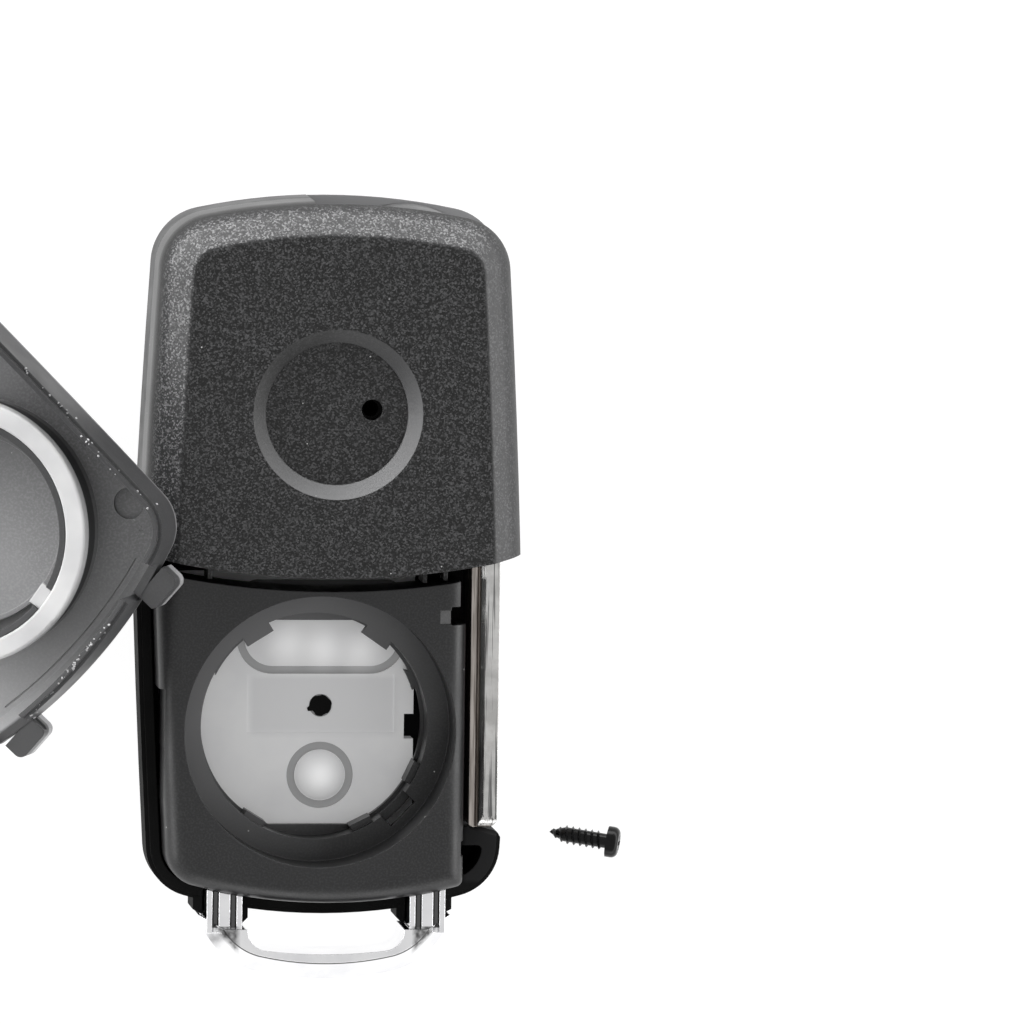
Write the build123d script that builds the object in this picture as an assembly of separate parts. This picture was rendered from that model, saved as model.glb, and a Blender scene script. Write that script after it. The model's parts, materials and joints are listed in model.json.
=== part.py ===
from build123d import *
import os
from math import acos, atan2, degrees, hypot, radians, sin

# A folding car key shell, lying on its button face with the battery cover taken off.
# Z points up out of the rear face, Y runs from the key ring to the head, and X is to the
# right seen from behind. The origin is on the resting plane, at the middle of the case.

# Case outline, as half widths up the case
case_thick = 16.0
rim_height = 8.0
head_top = 37.05
top_crown = 2.3
case_foot = 31.7
foot_crown = 2.8
shoulder_half = 16.6
head_half = 17.6
waist_half = 18.3
waist_y = 1.0
waist_blend = 90.0
grip_half = 17.65
foot_half = 16.8
top_corner = 5.5
foot_corner = 5.0
least_corner = 0.6

# Walls of the moulded shells
shell_wall = 1.3
face_wall = 1.6
roof_wall = 1.6
front_round = 4.0
rib_half = 0.6
rib_rows = (-6.0, -20.0)
rib_column = 5.0
head_edge = 1.35
head_edge_radius = 80.0
head_edge_wall = 1.3
crush_rib_x = (-11.7, 8.9, 10.9)
crush_rib_half = 0.2
crush_rib_clear = 0.25
bevel_wide = 3.1
bevel_deep = 2.5
bevel_soft = 1.0
bevel_blend = 4.0
rim_step = 0.4

# Seat of the round emblem, with the hole of the case screw beside its middle
seat_y = 17.0
seat_outer = 16.24
seat_inner = 13.6
seat_chamfer = 1.1
seat_depth = 1.5
seat_boss_wall = 1.4
screw_x = 3.4
screw_dy = 0.35
screw_hole = 2.0
screw_pilot = 1.5
screw_post = 4.4
screw_grip = 6.0

# Blade, folded along the right side
blade_left = 13.35
blade_thick = 2.8
blade_width = 8.6
blade_tip = -23.0
shank_width = 9.4
shank_length = 31.4
land_width = 1.3
slope_wide = 0.45
slope_deep = 0.42
groove_x = 0.8
groove_below = 0.35
edge_break = 0.25
rebate_deep = 1.3
tip_round = 0.9
tip_corner = 1.6
stamp_from_tip = 40.5
stamp_wide = 1.2
stamp_deep = 0.15
tang_width = 5.0
blade_mid_z = 8.0
slot_clear = 0.2
lip_right = 14.0
guide_rise = 9.0

# Hook at the foot, beside the blade's tip, and the hollow in it
nose_x = 16.75
nose_y = -23.8
nose_drop = 1.3
nose_reach = 0.75
hook_root_round = 1.4
nose_round = 0.6
hook_facet = 0.45
hollow_wall = 1.75
hollow_top = -25.1
hollow_foot = -27.95
hollow_round = 0.45

# Hub that the blade turns on
pivot_y = 27.7
hub_radius = 8.5
hub_clear = 0.3
arm_left = 11.2
arm_foot = 18.5
arm_round = 1.2
tang_end = 25.6
post_radius = 2.5
bore_clear = 0.04
web_low = 5.0
web_thick = 1.6
spring_room = 6.3
pin_radius = 0.8
pin_y = 22.0
pin_inner = 11.45
slot_left = -2.05
hub_rib_wall = 1.0

# Release button on the front face, with the locking cross behind it
release_radius = 4.85
release_clear = 0.1
release_recess = 0.35
release_travel = 1.0
dish_radius = 20.0
dish_deep = 0.4
bezel_radius = 6.4
bezel_flange = 7.0
bezel_flange_thick = 0.5
bezel_recess = 0.1
cross_radius = 7.1
cross_arm = 2.8
cross_low = 2.45
cross_thick = 1.45
cross_clear = 0.15

# Flip spring and its washer
spring_radius = 4.3
spring_wire = 0.8
spring_turns = 4.0
washer_thick = 0.35
washer_outer = 5.4

# Battery frame in the remote half
bay_x = -1.05
bay_y = -13.6
frame_inset = 1.5
frame_top = 13.6
frame_seat = 7.3
frame_plate = 1.2
frame_skirt = 1.0
frame_gap = 1.5
frame_right = 13.0
frame_bevel = 2.2
frame_corner = 0.7
pit_radius = 13.0
pit_wall = 1.0
ledge_z = 8.2
ledge_thick = 0.8
well_radius = 10.9
well_wall = 0.9
well_floor = 4.9
well_floor_thick = 0.8
floor_radius = 10.6
floor_chord = 9.85
tab_reach = 1.0
tab_wide = 2.9
tab_angles = (122.0, 55.3)
clip_reach = 0.6
clip_wide = 2.2
clip_drop = 0.9
clip_angles = (-121.6, -63.6, -25.5)
pry_angle = -44.4
pry_wide = 3.2
pry_inner = 10.2
pry_outer = 12.15
pry_deep = 2.0
crescent_reach = 0.35
crescent_from = 166.0
crescent_to = 208.0
latch_high = -9.6
latch_step = -15.3
latch_foot = -20.3
latch_deep = 0.95
notch_top = -1.6
notch_foot = -3.35
notch_deep = 1.6
tooth_top = -24.2
tooth_foot = -25.65
tooth_deep = 0.3
ramp_long = 1.1
ramp_deep = 0.7

# Silicone keypad and its contact pill
keypad_gap = 0.1
keypad_thick = 1.0
keypad_inset = 2.4
keypad_right = 8.96
keypad_top = 0.9
keypad_foot = -25.2
keypad_lip = 1.0
groove_wide = 0.75
groove_deep = 0.45
upper_groove = 0.85
lower_groove = 0.1
panel_wide = 14.2
panel_high = 5.6
panel_deep = 0.12
mat_notch_wide = 2.4
mat_notch_deep = 0.9
mat_notch_y = -14.1
pill_radius = 1.1
pill_thick = 0.5
pill_y = -12.1

# Hard buttons on the front face
cap_recess = 0.4
cap_clear = 0.15
cap_flange = 0.45
cap_flange_thick = 0.45
cap_travel = 0.6
cap_soft = 0.3
upper_half = 7.3
upper_top = -0.8
upper_foot = -8.2
upper_round = 2.6
middle_half = 6.8
middle_top = -9.4
middle_foot = -14.4
middle_round = 1.2
lower_y = -18.8
lower_radius = 3.1

# Key ring loop
loop_half = 12.1
loop_shoulder = -31.6
loop_foot = -37.7
loop_bow_half = 6.9
loop_bow_y = -36.9
loop_side_x = 10.4
loop_side_y = -34.75
loop_low = 4.6
loop_thick = 6.8
loop_eye_half = 7.5
loop_eye_top = -32.9
loop_eye_foot = -35.2
loop_eye_rise = 0.6
loop_eye_round = 1.9
loop_bevel = 1.7
loop_soft = 1.2
post_mid = 9.75
post_wide = 3.4
post_anchor = 2.9
post_clear = 0.1
post_drop = 0.4
flute_radius = 0.32
horn_inner = 7.15
horn_outer = 12.45
horn_low = 2.5
horn_soft = 0.3

# Battery cover, made where it fits and then laid beside the key
cover_inset = 0.5
cover_wall = 0.8
cover_plate = 1.6
cover_round = 3.0
cover_gap = 0.25
cover_inner_bevel = 1.4
cover_step = 0.35
cover_step_deep = 0.5
ear_wide = 3.9
ear_reach = 0.7
ear_soft = 0.8
line_inset = 3.2
line_wide = 0.15
line_deep = 0.12
pocket_x = 13.2
pocket_y = -23.4
pocket_radius = 1.5
pocket_deep = 0.5
pocket_clear = 0.3
cup_inner = 10.3
cup_lip = 0.6
cup_outer = 12.4
cup_step = 9.7
cup_clear = 0.2
disc_radius = 9.3
disc_thick = 0.7
disc_rim_wide = 0.45
disc_rim_high = 0.35
seal_outer = 12.85
seal_soft = 0.25
seal_tab_angle = -96.0
seal_tab_wide = 2.2
seal_tab_inner = 9.6
cover_slit = 0.4
cover_slit_y = -28.0
cover_slit_z = 12.5
hook_y = -16.0
hook_wide = 3.0
hook_deep = 0.35
hook_low = 0.8
hook_high = 1.6

# Where the loose cover and the loose screw lie
cover_turn = -131.0
cover_tilt = 22.0
cover_tilt_way = 0.0
cover_x = -33.43
cover_y = 5.71
screw_lie_x = 22.8
screw_lie_y = -24.7
screw_lie_turn = -8.0

# Case screw
screw_length = 6.8
screw_head = 3.0
screw_head_thick = 1.15
screw_shank = 1.5
screw_thread = 1.85
screw_tip = 1.3
screw_slot = 0.5
screw_slot_deep = 0.7
thread_pitch = 0.62

# Worked out from the sizes above
shoulder_y = head_top - top_crown
foot_y = foot_crown - case_foot
blade_right = blade_left + blade_thick
pivot_x = (blade_left + blade_right) / 2 / 2
slot_low = blade_mid_z - shank_width / 2 - slot_clear
slot_high = blade_mid_z + shank_width / 2 + slot_clear
hub_low = slot_low + hub_clear / 2
hub_high = slot_high - hub_clear / 2
channel_x = blade_left - 0.3
bumper_y = blade_tip - 0.3
roof_z = case_thick - roof_wall
keypad_low = face_wall + cap_clear + cap_flange_thick + cap_travel + keypad_gap
keypad_high = keypad_low + keypad_thick
seat_floor = case_thick - seat_depth
seat_boss_z = seat_floor - seat_boss_wall
screw_y = seat_y + screw_dy
lid_edge = head_edge - cover_gap
BIG = 120.0


def case_face(inset=0.0):
    """Outline of the closed case, moved inwards by inset: six discs crossed, corners rounded."""
    arcs = [
        ThreePointArc((-shoulder_half, shoulder_y), (0, head_top), (shoulder_half, shoulder_y)),
        ThreePointArc((-foot_half, foot_y), (0, -case_foot), (foot_half, foot_y)),
    ]
    for side in (-1, 1):
        shoulder, waist = (side * shoulder_half, shoulder_y), (side * waist_half, waist_y)
        toe = (side * foot_half, foot_y)
        arcs.append(ThreePointArc(shoulder, (side * head_half, (shoulder_y + waist_y) / 2), waist))
        arcs.append(ThreePointArc(waist, (side * grip_half, (waist_y + foot_y) / 2), toe))
    discs = [Pos(arc.arc_center) * Circle(arc.radius - inset) for arc in arcs]
    face = discs[0]
    for disc in discs[1:]:
        face = face & disc
    face = fillet(face.vertices().sort_by(Axis.Y)[-2:], max(top_corner - inset, least_corner))
    face = fillet(face.vertices().sort_by(Axis.Y)[:2], max(foot_corner - inset, least_corner))
    return fillet(face.vertices().sort_by(lambda v: abs(v.X))[-2:], waist_blend)


def slab(face, low, high):
    """Solid on a plan outline between two heights."""
    return Pos(0, 0, low) * extrude(face, high - low)


def block(x_low, x_high, y_low, y_high, z_low, z_high):
    """Box given by its faces."""
    middle = Pos((x_low + x_high) / 2, (y_low + y_high) / 2, (z_low + z_high) / 2)
    return middle * Box(x_high - x_low, y_high - y_low, z_high - z_low)


def drum(radius, low, high, x=0.0, y=0.0):
    """Upright cylinder between two heights."""
    return Pos(x, y, (low + high) / 2) * Cylinder(radius, high - low)


def tube(inner, outer, low, high, x=0.0, y=0.0):
    """Upright ring between two heights."""
    return drum(outer, low, high, x, y) - drum(inner, low - 1, high + 1, x, y)


def above_edge(edge_y, low, high):
    """Room on the head side of the curved lower edge of the head."""
    return drum(head_edge_radius, low, high, 0, edge_y + head_edge_radius)


def around_bay(angle, radius, piece):
    """Places a piece made along +X at an angle round the battery bay."""
    return Pos(bay_x, bay_y, 0) * (Rot(0, 0, angle) * (Pos(radius, 0, 0) * piece))


def level_edges(solid, z, keep):
    """Edges that lie at one height and pass a test on their middle."""
    found = []
    for edge in solid.edges():
        box = edge.bounding_box()
        if abs(box.min.Z - z) < 1e-4 and abs(box.max.Z - z) < 1e-4 and keep(edge @ 0.5):
            found.append(edge)
    return found


def blade_room():
    """Space that the blade and its hub sweep between the two shells."""
    beside = block(channel_x, BIG, bumper_y, pivot_y, slot_low, slot_high)
    over = block(slot_left, BIG, pivot_y - hub_clear, BIG, slot_low, slot_high)
    middle = drum(hub_radius + hub_clear, slot_low, slot_high, pivot_x, pivot_y)
    arm = block(arm_left - hub_clear, BIG, arm_foot - hub_clear, pivot_y, slot_low, slot_high)
    return beside + over + middle + arm


def loop_post_rooms(clear, high=BIG):
    """The two posts of the key ring loop, grown all round by a clearance."""
    half = post_wide / 2 + clear
    low = loop_low + post_drop - clear
    inner = -case_foot + post_anchor + clear
    left = block(-post_mid - half, half - post_mid, -BIG, inner, low, high)
    return left + mirror(left, about=Plane.YZ)


def upper_cap_face(grow=0.0):
    """Upper button: square at the top with rounder lower corners."""
    high, low = upper_top + grow, upper_foot - grow
    half = upper_half + grow
    face = Pos(0, (high + low) / 2) * Rectangle(2 * half, high - low)
    lower = face.vertices().sort_by(Axis.Y)[:2]
    face = fillet(lower, upper_round + grow)
    return fillet(face.vertices().sort_by(Axis.Y)[-2:], middle_round + grow)


def middle_cap_face(grow=0.0):
    """Middle button: a rounded bar."""
    high, low = middle_top + grow, middle_foot - grow
    shape = RectangleRounded(2 * (middle_half + grow), high - low, middle_round + grow)
    return Pos(0, (high + low) / 2) * shape


def lower_cap_face(grow=0.0):
    """Lower button: round."""
    return Pos(0, lower_y) * Circle(lower_radius + grow)


CAPS = {
    "upper_button": upper_cap_face,
    "middle_button": middle_cap_face,
    "lower_button": lower_cap_face,
}


def button_cap(face_of):
    """Hard button with a softened front edge and the flange that keeps it in."""
    body = slab(face_of(), cap_recess, face_wall + cap_clear + cap_flange_thick)
    body = fillet(level_edges(body, cap_recess, lambda p: True), cap_soft)
    low = face_wall + cap_clear
    return body + slab(face_of(cap_flange), low, low + cap_flange_thick)


def front_shell():
    """Full-length front shell with its rim, blade lip, posts and button openings."""
    shell = slab(case_face(), 0, rim_height)
    shell = fillet(level_edges(shell, 0, lambda p: True), front_round)
    inner = case_face(shell_wall)
    cavity = slab(inner, face_wall, BIG)
    under_head = above_edge(head_edge, -2, BIG)
    divider = above_edge(head_edge + head_edge_wall, -2, BIG)
    channel = block(channel_x - shell_wall, BIG, -BIG, BIG, 0, BIG)
    remote_room = cavity - under_head - channel
    head_room = cavity & divider
    shell = shell - remote_room - head_room
    # The wall beside the blade channel stops where the battery frame sits on it
    step = block(channel_x - shell_wall - 0.1, BIG, bumper_y, BIG, frame_seat, BIG) - under_head
    seat = slab(inner, frame_seat, BIG) & block(0, frame_right + 0.2, -BIG, bumper_y + 1, 0, BIG)
    shell = shell - step - seat - blade_room()
    shell = shell - (open_side() - under_head) - hook_hollow()
    outer_step = slab(case_face(), rim_height - rim_step, BIG) - slab(case_face(rim_step), 0, BIG)
    shell = shell - (outer_step - under_head)
    for rib in frame_ribs():
        shell = shell + rib
    shell = shell + head_ribs() + screw_post_tube() + post_horns()
    shell = shell - loop_post_rooms(post_clear)
    for face_of in CAPS.values():
        shell = shell - slab(face_of(cap_clear), -1, face_wall + 0.5)
    bore = bezel_radius + release_clear / 2
    return shell - drum(bore, -1, face_wall + 0.5, pivot_x, pivot_y) - hook_bevel()


def open_side():
    """Space beside the case at the folded blade, down to the hook at its tip."""
    tail = nose_y - nose_drop
    points = [(lip_right, BIG), (lip_right, nose_y + nose_reach), (nose_x, nose_y)]
    points = points + [(nose_x + nose_reach, tail), (BIG, tail), (BIG, BIG)]
    face = make_face(Polyline(*points, close=True))
    root = face.vertices().sort_by(lambda v: hypot(v.X - lip_right, v.Y - nose_y - nose_reach))[0]
    face = fillet(root, hook_root_round)
    nose = face.vertices().sort_by(lambda v: hypot(v.X - nose_x, v.Y - nose_y))[0]
    return slab(fillet(nose, nose_round), -1, BIG)


def hook_bevel():
    """Wedge that bevels the sloping edge of the hook."""
    run = nose_x - lip_right
    size = 4 * hook_facet
    wedge = Pos(0, 0, size / 2 - hook_facet * sin(radians(45))) * Box(run + size, size, size)
    wedge = Rot(0, 0, -degrees(atan2(nose_reach, run))) * (Rot(-45, 0, 0) * wedge)
    return Pos(nose_x - run / 2 + size / 2, nose_y + nose_reach / 2 - hook_facet / 2, rim_height) * wedge


def hook_hollow():
    """Teardrop hollow in the hook, its outer side along the outline."""
    room = slab(case_face(hollow_wall), face_wall, BIG)
    room = room & block(channel_x + 0.2, BIG, hollow_foot, hollow_top, 0, BIG)
    uprights = room.edges().filter_by(Axis.Z).sort_by(Axis.X)
    room = fillet(uprights[-1], hollow_round)
    uprights = room.edges().filter_by(Axis.Z).filter_by(lambda e: abs(e.center().Y - hollow_foot) < 1e-3)
    return fillet(uprights.sort_by(Axis.X)[-1], hollow_round)


def post_horns():
    """Bosses that hold the posts of the key ring loop, sticking out of the foot."""
    low_y, corner = loop_eye_top + 2 * post_clear, 2 * horn_soft
    root = foot_y - post_clear
    points = [(horn_inner, root), (horn_inner, low_y + corner), (horn_inner + corner, low_y)]
    points = points + [(post_mid, low_y), (horn_outer, loop_shoulder + 3 * post_clear), (horn_outer, root)]
    horn = slab(make_face(Polyline(*points, close=True)), horn_low, rim_height - rim_step)
    horn = fillet(level_edges(horn, horn_low, lambda p: p.Y < root - 0.1), horn_soft)
    horn = horn - slab(case_face(shell_wall), 0, BIG)
    return horn + mirror(horn, about=Plane.YZ)


def frame_ribs():
    """Upright ribs inside the rim that the battery frame rests on."""
    ring = slab(case_face(shell_wall), face_wall, frame_seat)
    ring = ring - slab(case_face(keypad_inset - 0.1), face_wall - 1, frame_seat + 1)
    ribs = []
    for y in rib_rows:
        ribs.append(ring & block(-BIG, 0, y - rib_half, y + rib_half, 0, BIG))
    for x in (-rib_column, rib_column):
        ribs.append(ring & block(x - rib_half, x + rib_half, -BIG, bay_y, 0, BIG))
    return ribs


def head_ribs():
    """Rings and guides in the head that carry the hub and the blade."""
    ring_inner = cross_radius + cross_clear + 0.1
    ring = tube(ring_inner, ring_inner + hub_rib_wall, 1, slot_low, pivot_x, pivot_y)
    room = slab(case_face(shell_wall - 0.2), 1, slot_low)
    guide_y = head_edge + guide_rise
    guide = block(arm_left, BIG, guide_y, guide_y + hub_rib_wall, 1, slot_low)
    return (ring + guide) & room


def screw_post_tube():
    """Post that takes the case screw, with its pilot hole."""
    top = seat_boss_z - 0.05
    post = drum(screw_post / 2, 1, top, screw_x, screw_y)
    return post - drum(screw_pilot / 2, top - screw_grip, BIG, screw_x, screw_y)


def head_rear_cover():
    """Rear cover of the head: bevelled dome, emblem seat, screw hole and pivot post."""
    cover = slab(case_face(), rim_height, case_thick)
    top = cover.faces().sort_by(Axis.Z)[-1]
    cover = chamfer(level_edges(cover, case_thick, lambda p: True), bevel_wide, bevel_deep, reference=top)
    cover = fillet(level_edges(cover, case_thick, lambda p: True), bevel_soft)
    cover = fillet(level_edges(cover, case_thick - bevel_deep, lambda p: True), bevel_blend)
    cover = cover & above_edge(head_edge, 0, BIG)
    room = slab(case_face(shell_wall), rim_height - 1, roof_z)
    room = chamfer(level_edges(room, roof_z, lambda p: True), bevel_deep)
    cover = cover - (room & above_edge(head_edge + head_edge_wall, 0, BIG))
    solid = drum(seat_outer / 2 + 0.6, seat_boss_z, roof_z + 0.2, 0, seat_y)
    ring = tube(spring_room + 0.1, hub_radius - 0.3, slot_high, roof_z + 0.2, pivot_x, pivot_y)
    guide_y = head_edge + guide_rise
    guide = block(arm_left, BIG, guide_y, guide_y + hub_rib_wall, slot_high, roof_z + 0.2)
    cover = cover + ((solid + ring + guide) & keep_in_head())
    cover = cover - blade_room()
    cover = cover - drum(spring_room, slot_high, roof_z, pivot_x, pivot_y)
    post = drum(post_radius, web_low + 0.4, roof_z + 0.2, pivot_x, pivot_y)
    cover = cover + post + edge_ribs()
    cone = Pos(0, seat_y, case_thick - seat_chamfer / 2) * Cone(
        seat_inner / 2, seat_outer / 2, seat_chamfer
    )
    cover = cover - cone - drum(seat_inner / 2, seat_floor, BIG, 0, seat_y)
    return cover - drum(screw_hole / 2, 0, BIG, screw_x, screw_y)


def keep_in_head():
    """Plan of the head, as a tall solid."""
    return slab(case_face(shell_wall + 0.3), 0, case_thick) & above_edge(head_edge + 0.2, 0, BIG)


def edge_ribs():
    """Small crush ribs on the lower edge of the head, across the gap to the frame."""
    ribs = None
    half = crush_rib_half
    for x in crush_rib_x:
        y = head_edge + head_edge_radius - (head_edge_radius**2 - x**2) ** 0.5
        foot, high = y - frame_gap + crush_rib_clear, frame_top - frame_plate
        rib = block(x - half, x + half, foot, y + head_edge_wall / 4, rim_height + 1, high)
        ribs = rib if ribs is None else ribs + rib
    return ribs


def frame_plan(inset=0.0):
    """Plan of the battery frame, as a tall solid."""
    plan = slab(case_face(frame_inset + inset), 0, BIG)
    plan = plan - above_edge(head_edge - frame_gap - inset, -1, BIG + 1)
    return plan - block(frame_right - inset, BIG, -BIG, BIG, -1, BIG + 1)


def battery_frame():
    """Battery frame: plate, skirt, seal pit, well with its tabs, and latch notches."""
    band = block(-BIG, BIG, -BIG, BIG, frame_seat, frame_top)
    frame = frame_plan() & band
    top_y = head_edge - frame_gap

    def outer_side(point):
        return point.X < frame_right - 1.0 and point.Y < top_y - 1.0 and inside_edge(point)

    def inside_edge(point):
        reach = hypot(point.X, point.Y - top_y - head_edge_radius)
        return reach > head_edge_radius + 0.05

    corner = frame.edges().filter_by(Axis.Z).sort_by(lambda e: e.center().X - e.center().Y)[-1]
    frame = fillet(corner, frame_corner)
    frame = fillet(level_edges(frame, frame_top, outer_side), frame_bevel)
    hollow = frame_plan(frame_skirt) & block(-BIG, BIG, -BIG, BIG, 0, frame_top - frame_plate)
    pit_outer = pit_radius + pit_wall
    core = drum(pit_outer, ledge_z - ledge_thick, frame_top, bay_x, bay_y)
    frame = frame - (hollow - core)
    frame = frame - drum(pit_radius, ledge_z, BIG, bay_x, bay_y)
    well_outer = well_radius + well_wall
    well_low = well_floor - well_floor_thick
    frame = frame + (drum(well_outer, well_low, ledge_z, bay_x, bay_y))
    frame = frame - drum(well_radius, well_floor, BIG, bay_x, bay_y)
    frame = frame - floor_opening()
    frame = frame + well_tabs() + well_clips()
    frame = frame - pry_notch() - side_notches()
    return frame


def floor_opening():
    """Opening in the floor of the well: a circle with flats and a lip on the left."""
    low, high = 0, well_floor + 0.1
    opening = drum(floor_radius, low, high, bay_x, bay_y)
    opening = opening & block(
        -BIG, BIG, bay_y - floor_chord, bay_y + floor_chord, low - 1, high + 1
    )
    lip = tube(floor_radius - crescent_reach, BIG, low, high, bay_x, bay_y)
    span = crescent_to - crescent_from
    wedge = Pos(bay_x, bay_y, 0) * (
        Rot(0, 0, crescent_from) * Cylinder(2 * floor_radius, 3 * high, arc_size=span)
    )
    return opening - (lip & wedge)


def well_tabs():
    """Two tabs level with the seal ledge that hold the top edge of the cell."""
    tabs = None
    for angle in tab_angles:
        reach = tab_reach + 0.6
        tab = Box(reach, tab_wide, ledge_thick)
        tab = Pos(reach / 2 - tab_reach, 0, ledge_z - ledge_thick / 2) * tab
        tab = around_bay(angle, well_radius, tab)
        tabs = tab if tabs is None else tabs + tab
    return tabs


def well_clips():
    """Three small snap clips under the edge of the well."""
    clips = None
    for angle in clip_angles:
        reach = clip_reach + 0.4
        high = ledge_z - clip_drop
        clip = Pos(-clip_reach + reach / 2, 0, (well_floor + high) / 2) * Box(
            reach, clip_wide, high - well_floor + 0.2
        )
        clip = around_bay(angle, well_radius, clip)
        clips = clip if clips is None else clips + clip
    return clips


def pry_notch():
    """Notch in the ledge where a tool lifts the cell out."""
    length = pry_outer - pry_inner
    tool = Pos(length / 2, 0, ledge_z - pry_deep / 2 + 0.5) * Box(length, pry_wide, pry_deep + 1)
    return around_bay(pry_angle, pry_inner, tool)


def side_notches():
    """Latch recesses on the left side and the two notches beside the blade."""
    left = -waist_half + frame_inset
    high = block(-BIG, left + latch_deep, latch_step, latch_high, 0, BIG)
    low = block(-BIG, left + latch_deep + 0.05, latch_foot, latch_step, 0, BIG)
    step = block(frame_right - ramp_deep, BIG, notch_top, BIG, 0, BIG)
    notch = block(frame_right - notch_deep, BIG, notch_foot, notch_top, 0, BIG)
    tooth = block(frame_right - tooth_deep, BIG, tooth_foot, tooth_top, 0, BIG)
    ramps = ramp(frame_right - notch_deep, notch_foot + 0.1, notch_top - 0.3)
    ramps = ramps + ramp(frame_right - tooth_deep, tooth_foot, tooth_top)
    core = drum(pit_radius + 0.3, 0, BIG, bay_x, bay_y)
    return high + low + ((step + notch + tooth + ramps) - core)


def ramp(x, y_low, y_high):
    """Shallow ramp down to a notch at its right."""
    high = frame_top + 1
    start = x - ramp_long
    points = [(start, frame_top), (x, frame_top - ramp_deep), (x, high), (start, high)]
    face = make_face(Plane.XZ * Polyline(*points, close=True))
    return Pos(0, y_low, 0) * extrude(face, y_high - y_low, dir=(0, 1, 0))


def keypad():
    """Silicone keypad with the grooves round its buttons and a seating lip."""
    low, high = keypad_low, keypad_high
    span = block(-BIG, keypad_right, keypad_foot, keypad_top, 0, BIG)
    plan = slab(case_face(keypad_inset), face_wall, high) & span
    inner = slab(case_face(keypad_inset + keypad_lip), 0, low)
    inner_span = block(
        -BIG, keypad_right - keypad_lip, keypad_foot + keypad_lip, keypad_top - keypad_lip + 0.4, 0, BIG
    )
    mat = plan - (inner & inner_span)
    for face_of, outer in ((upper_cap_face, upper_groove), (lower_cap_face, lower_groove)):
        ring = slab(face_of(outer), high - groove_deep, BIG)
        mat = mat - (ring - slab(face_of(outer - groove_wide), 0, BIG))
    panel = Pos(0, (middle_top + middle_foot) / 2) * Rectangle(panel_wide, panel_high)
    mat = mat - slab(panel, high - panel_deep, BIG)
    half = mat_notch_wide / 2
    mat = mat - block(keypad_right - mat_notch_deep, BIG, mat_notch_y - half, mat_notch_y + half, 0, BIG)
    return mat - drum(pill_radius, high - pill_thick, BIG, 0, pill_y)


def contact_pill():
    """Round carbon contact pill in the middle of the keypad."""
    return drum(pill_radius - 0.01, keypad_high - pill_thick, keypad_high - 0.05, 0, pill_y)


def key_ring_loop():
    """Rigid bail with two posts that stand in the foot of the case."""
    low, high = loop_low, loop_low + loop_thick
    bow = [ThreePointArc((-loop_bow_half, loop_bow_y), (0, loop_foot), (loop_bow_half, loop_bow_y))]
    for side in (-1, 1):
        start, end = (side * loop_bow_half, loop_bow_y), (side * loop_half, loop_shoulder)
        bow.append(ThreePointArc(start, (side * loop_side_x, loop_side_y), end))
    top = loop_eye_top + 0.1
    ends = [(-loop_half, loop_shoulder), (-post_mid, top), (post_mid, top), (loop_half, loop_shoulder)]
    body = slab(make_face([*bow, *Polyline(*ends).edges()]), low, high)
    body = chamfer(level_edges(body, high, on_bow), loop_bevel)
    body = fillet(level_edges(body, low, on_bow), loop_soft)
    half, side_y = loop_eye_half, loop_eye_foot + loop_eye_rise
    floor = ThreePointArc((-half, side_y), (0, loop_eye_foot), (half, side_y))
    eye = make_face([floor, *Polyline((half, side_y), (half, 0), (-half, 0), (-half, side_y)).edges()])
    eye = fillet(eye.vertices().sort_by(Axis.Y)[:2], loop_eye_round)
    body = body - slab(eye, 0, BIG)
    posts = loop_post_rooms(0, high - post_drop) & block(-BIG, BIG, loop_eye_top - 0.3, 0, 0, BIG)
    posts = posts - slab(case_face(frame_inset - post_clear), 0, BIG)
    for x in (-post_mid, post_mid):
        for step in (-post_wide / 4, post_wide / 4):
            flute = Rot(90, 0, 0) * Cylinder(flute_radius, 4 * post_anchor)
            posts = posts - Pos(x + step, -case_foot, high - post_drop) * flute
    return body + posts


def on_bow(point):
    """Tells the outer bow of the loop from its straight top."""
    return point.Y < loop_eye_top - 1.0


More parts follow.
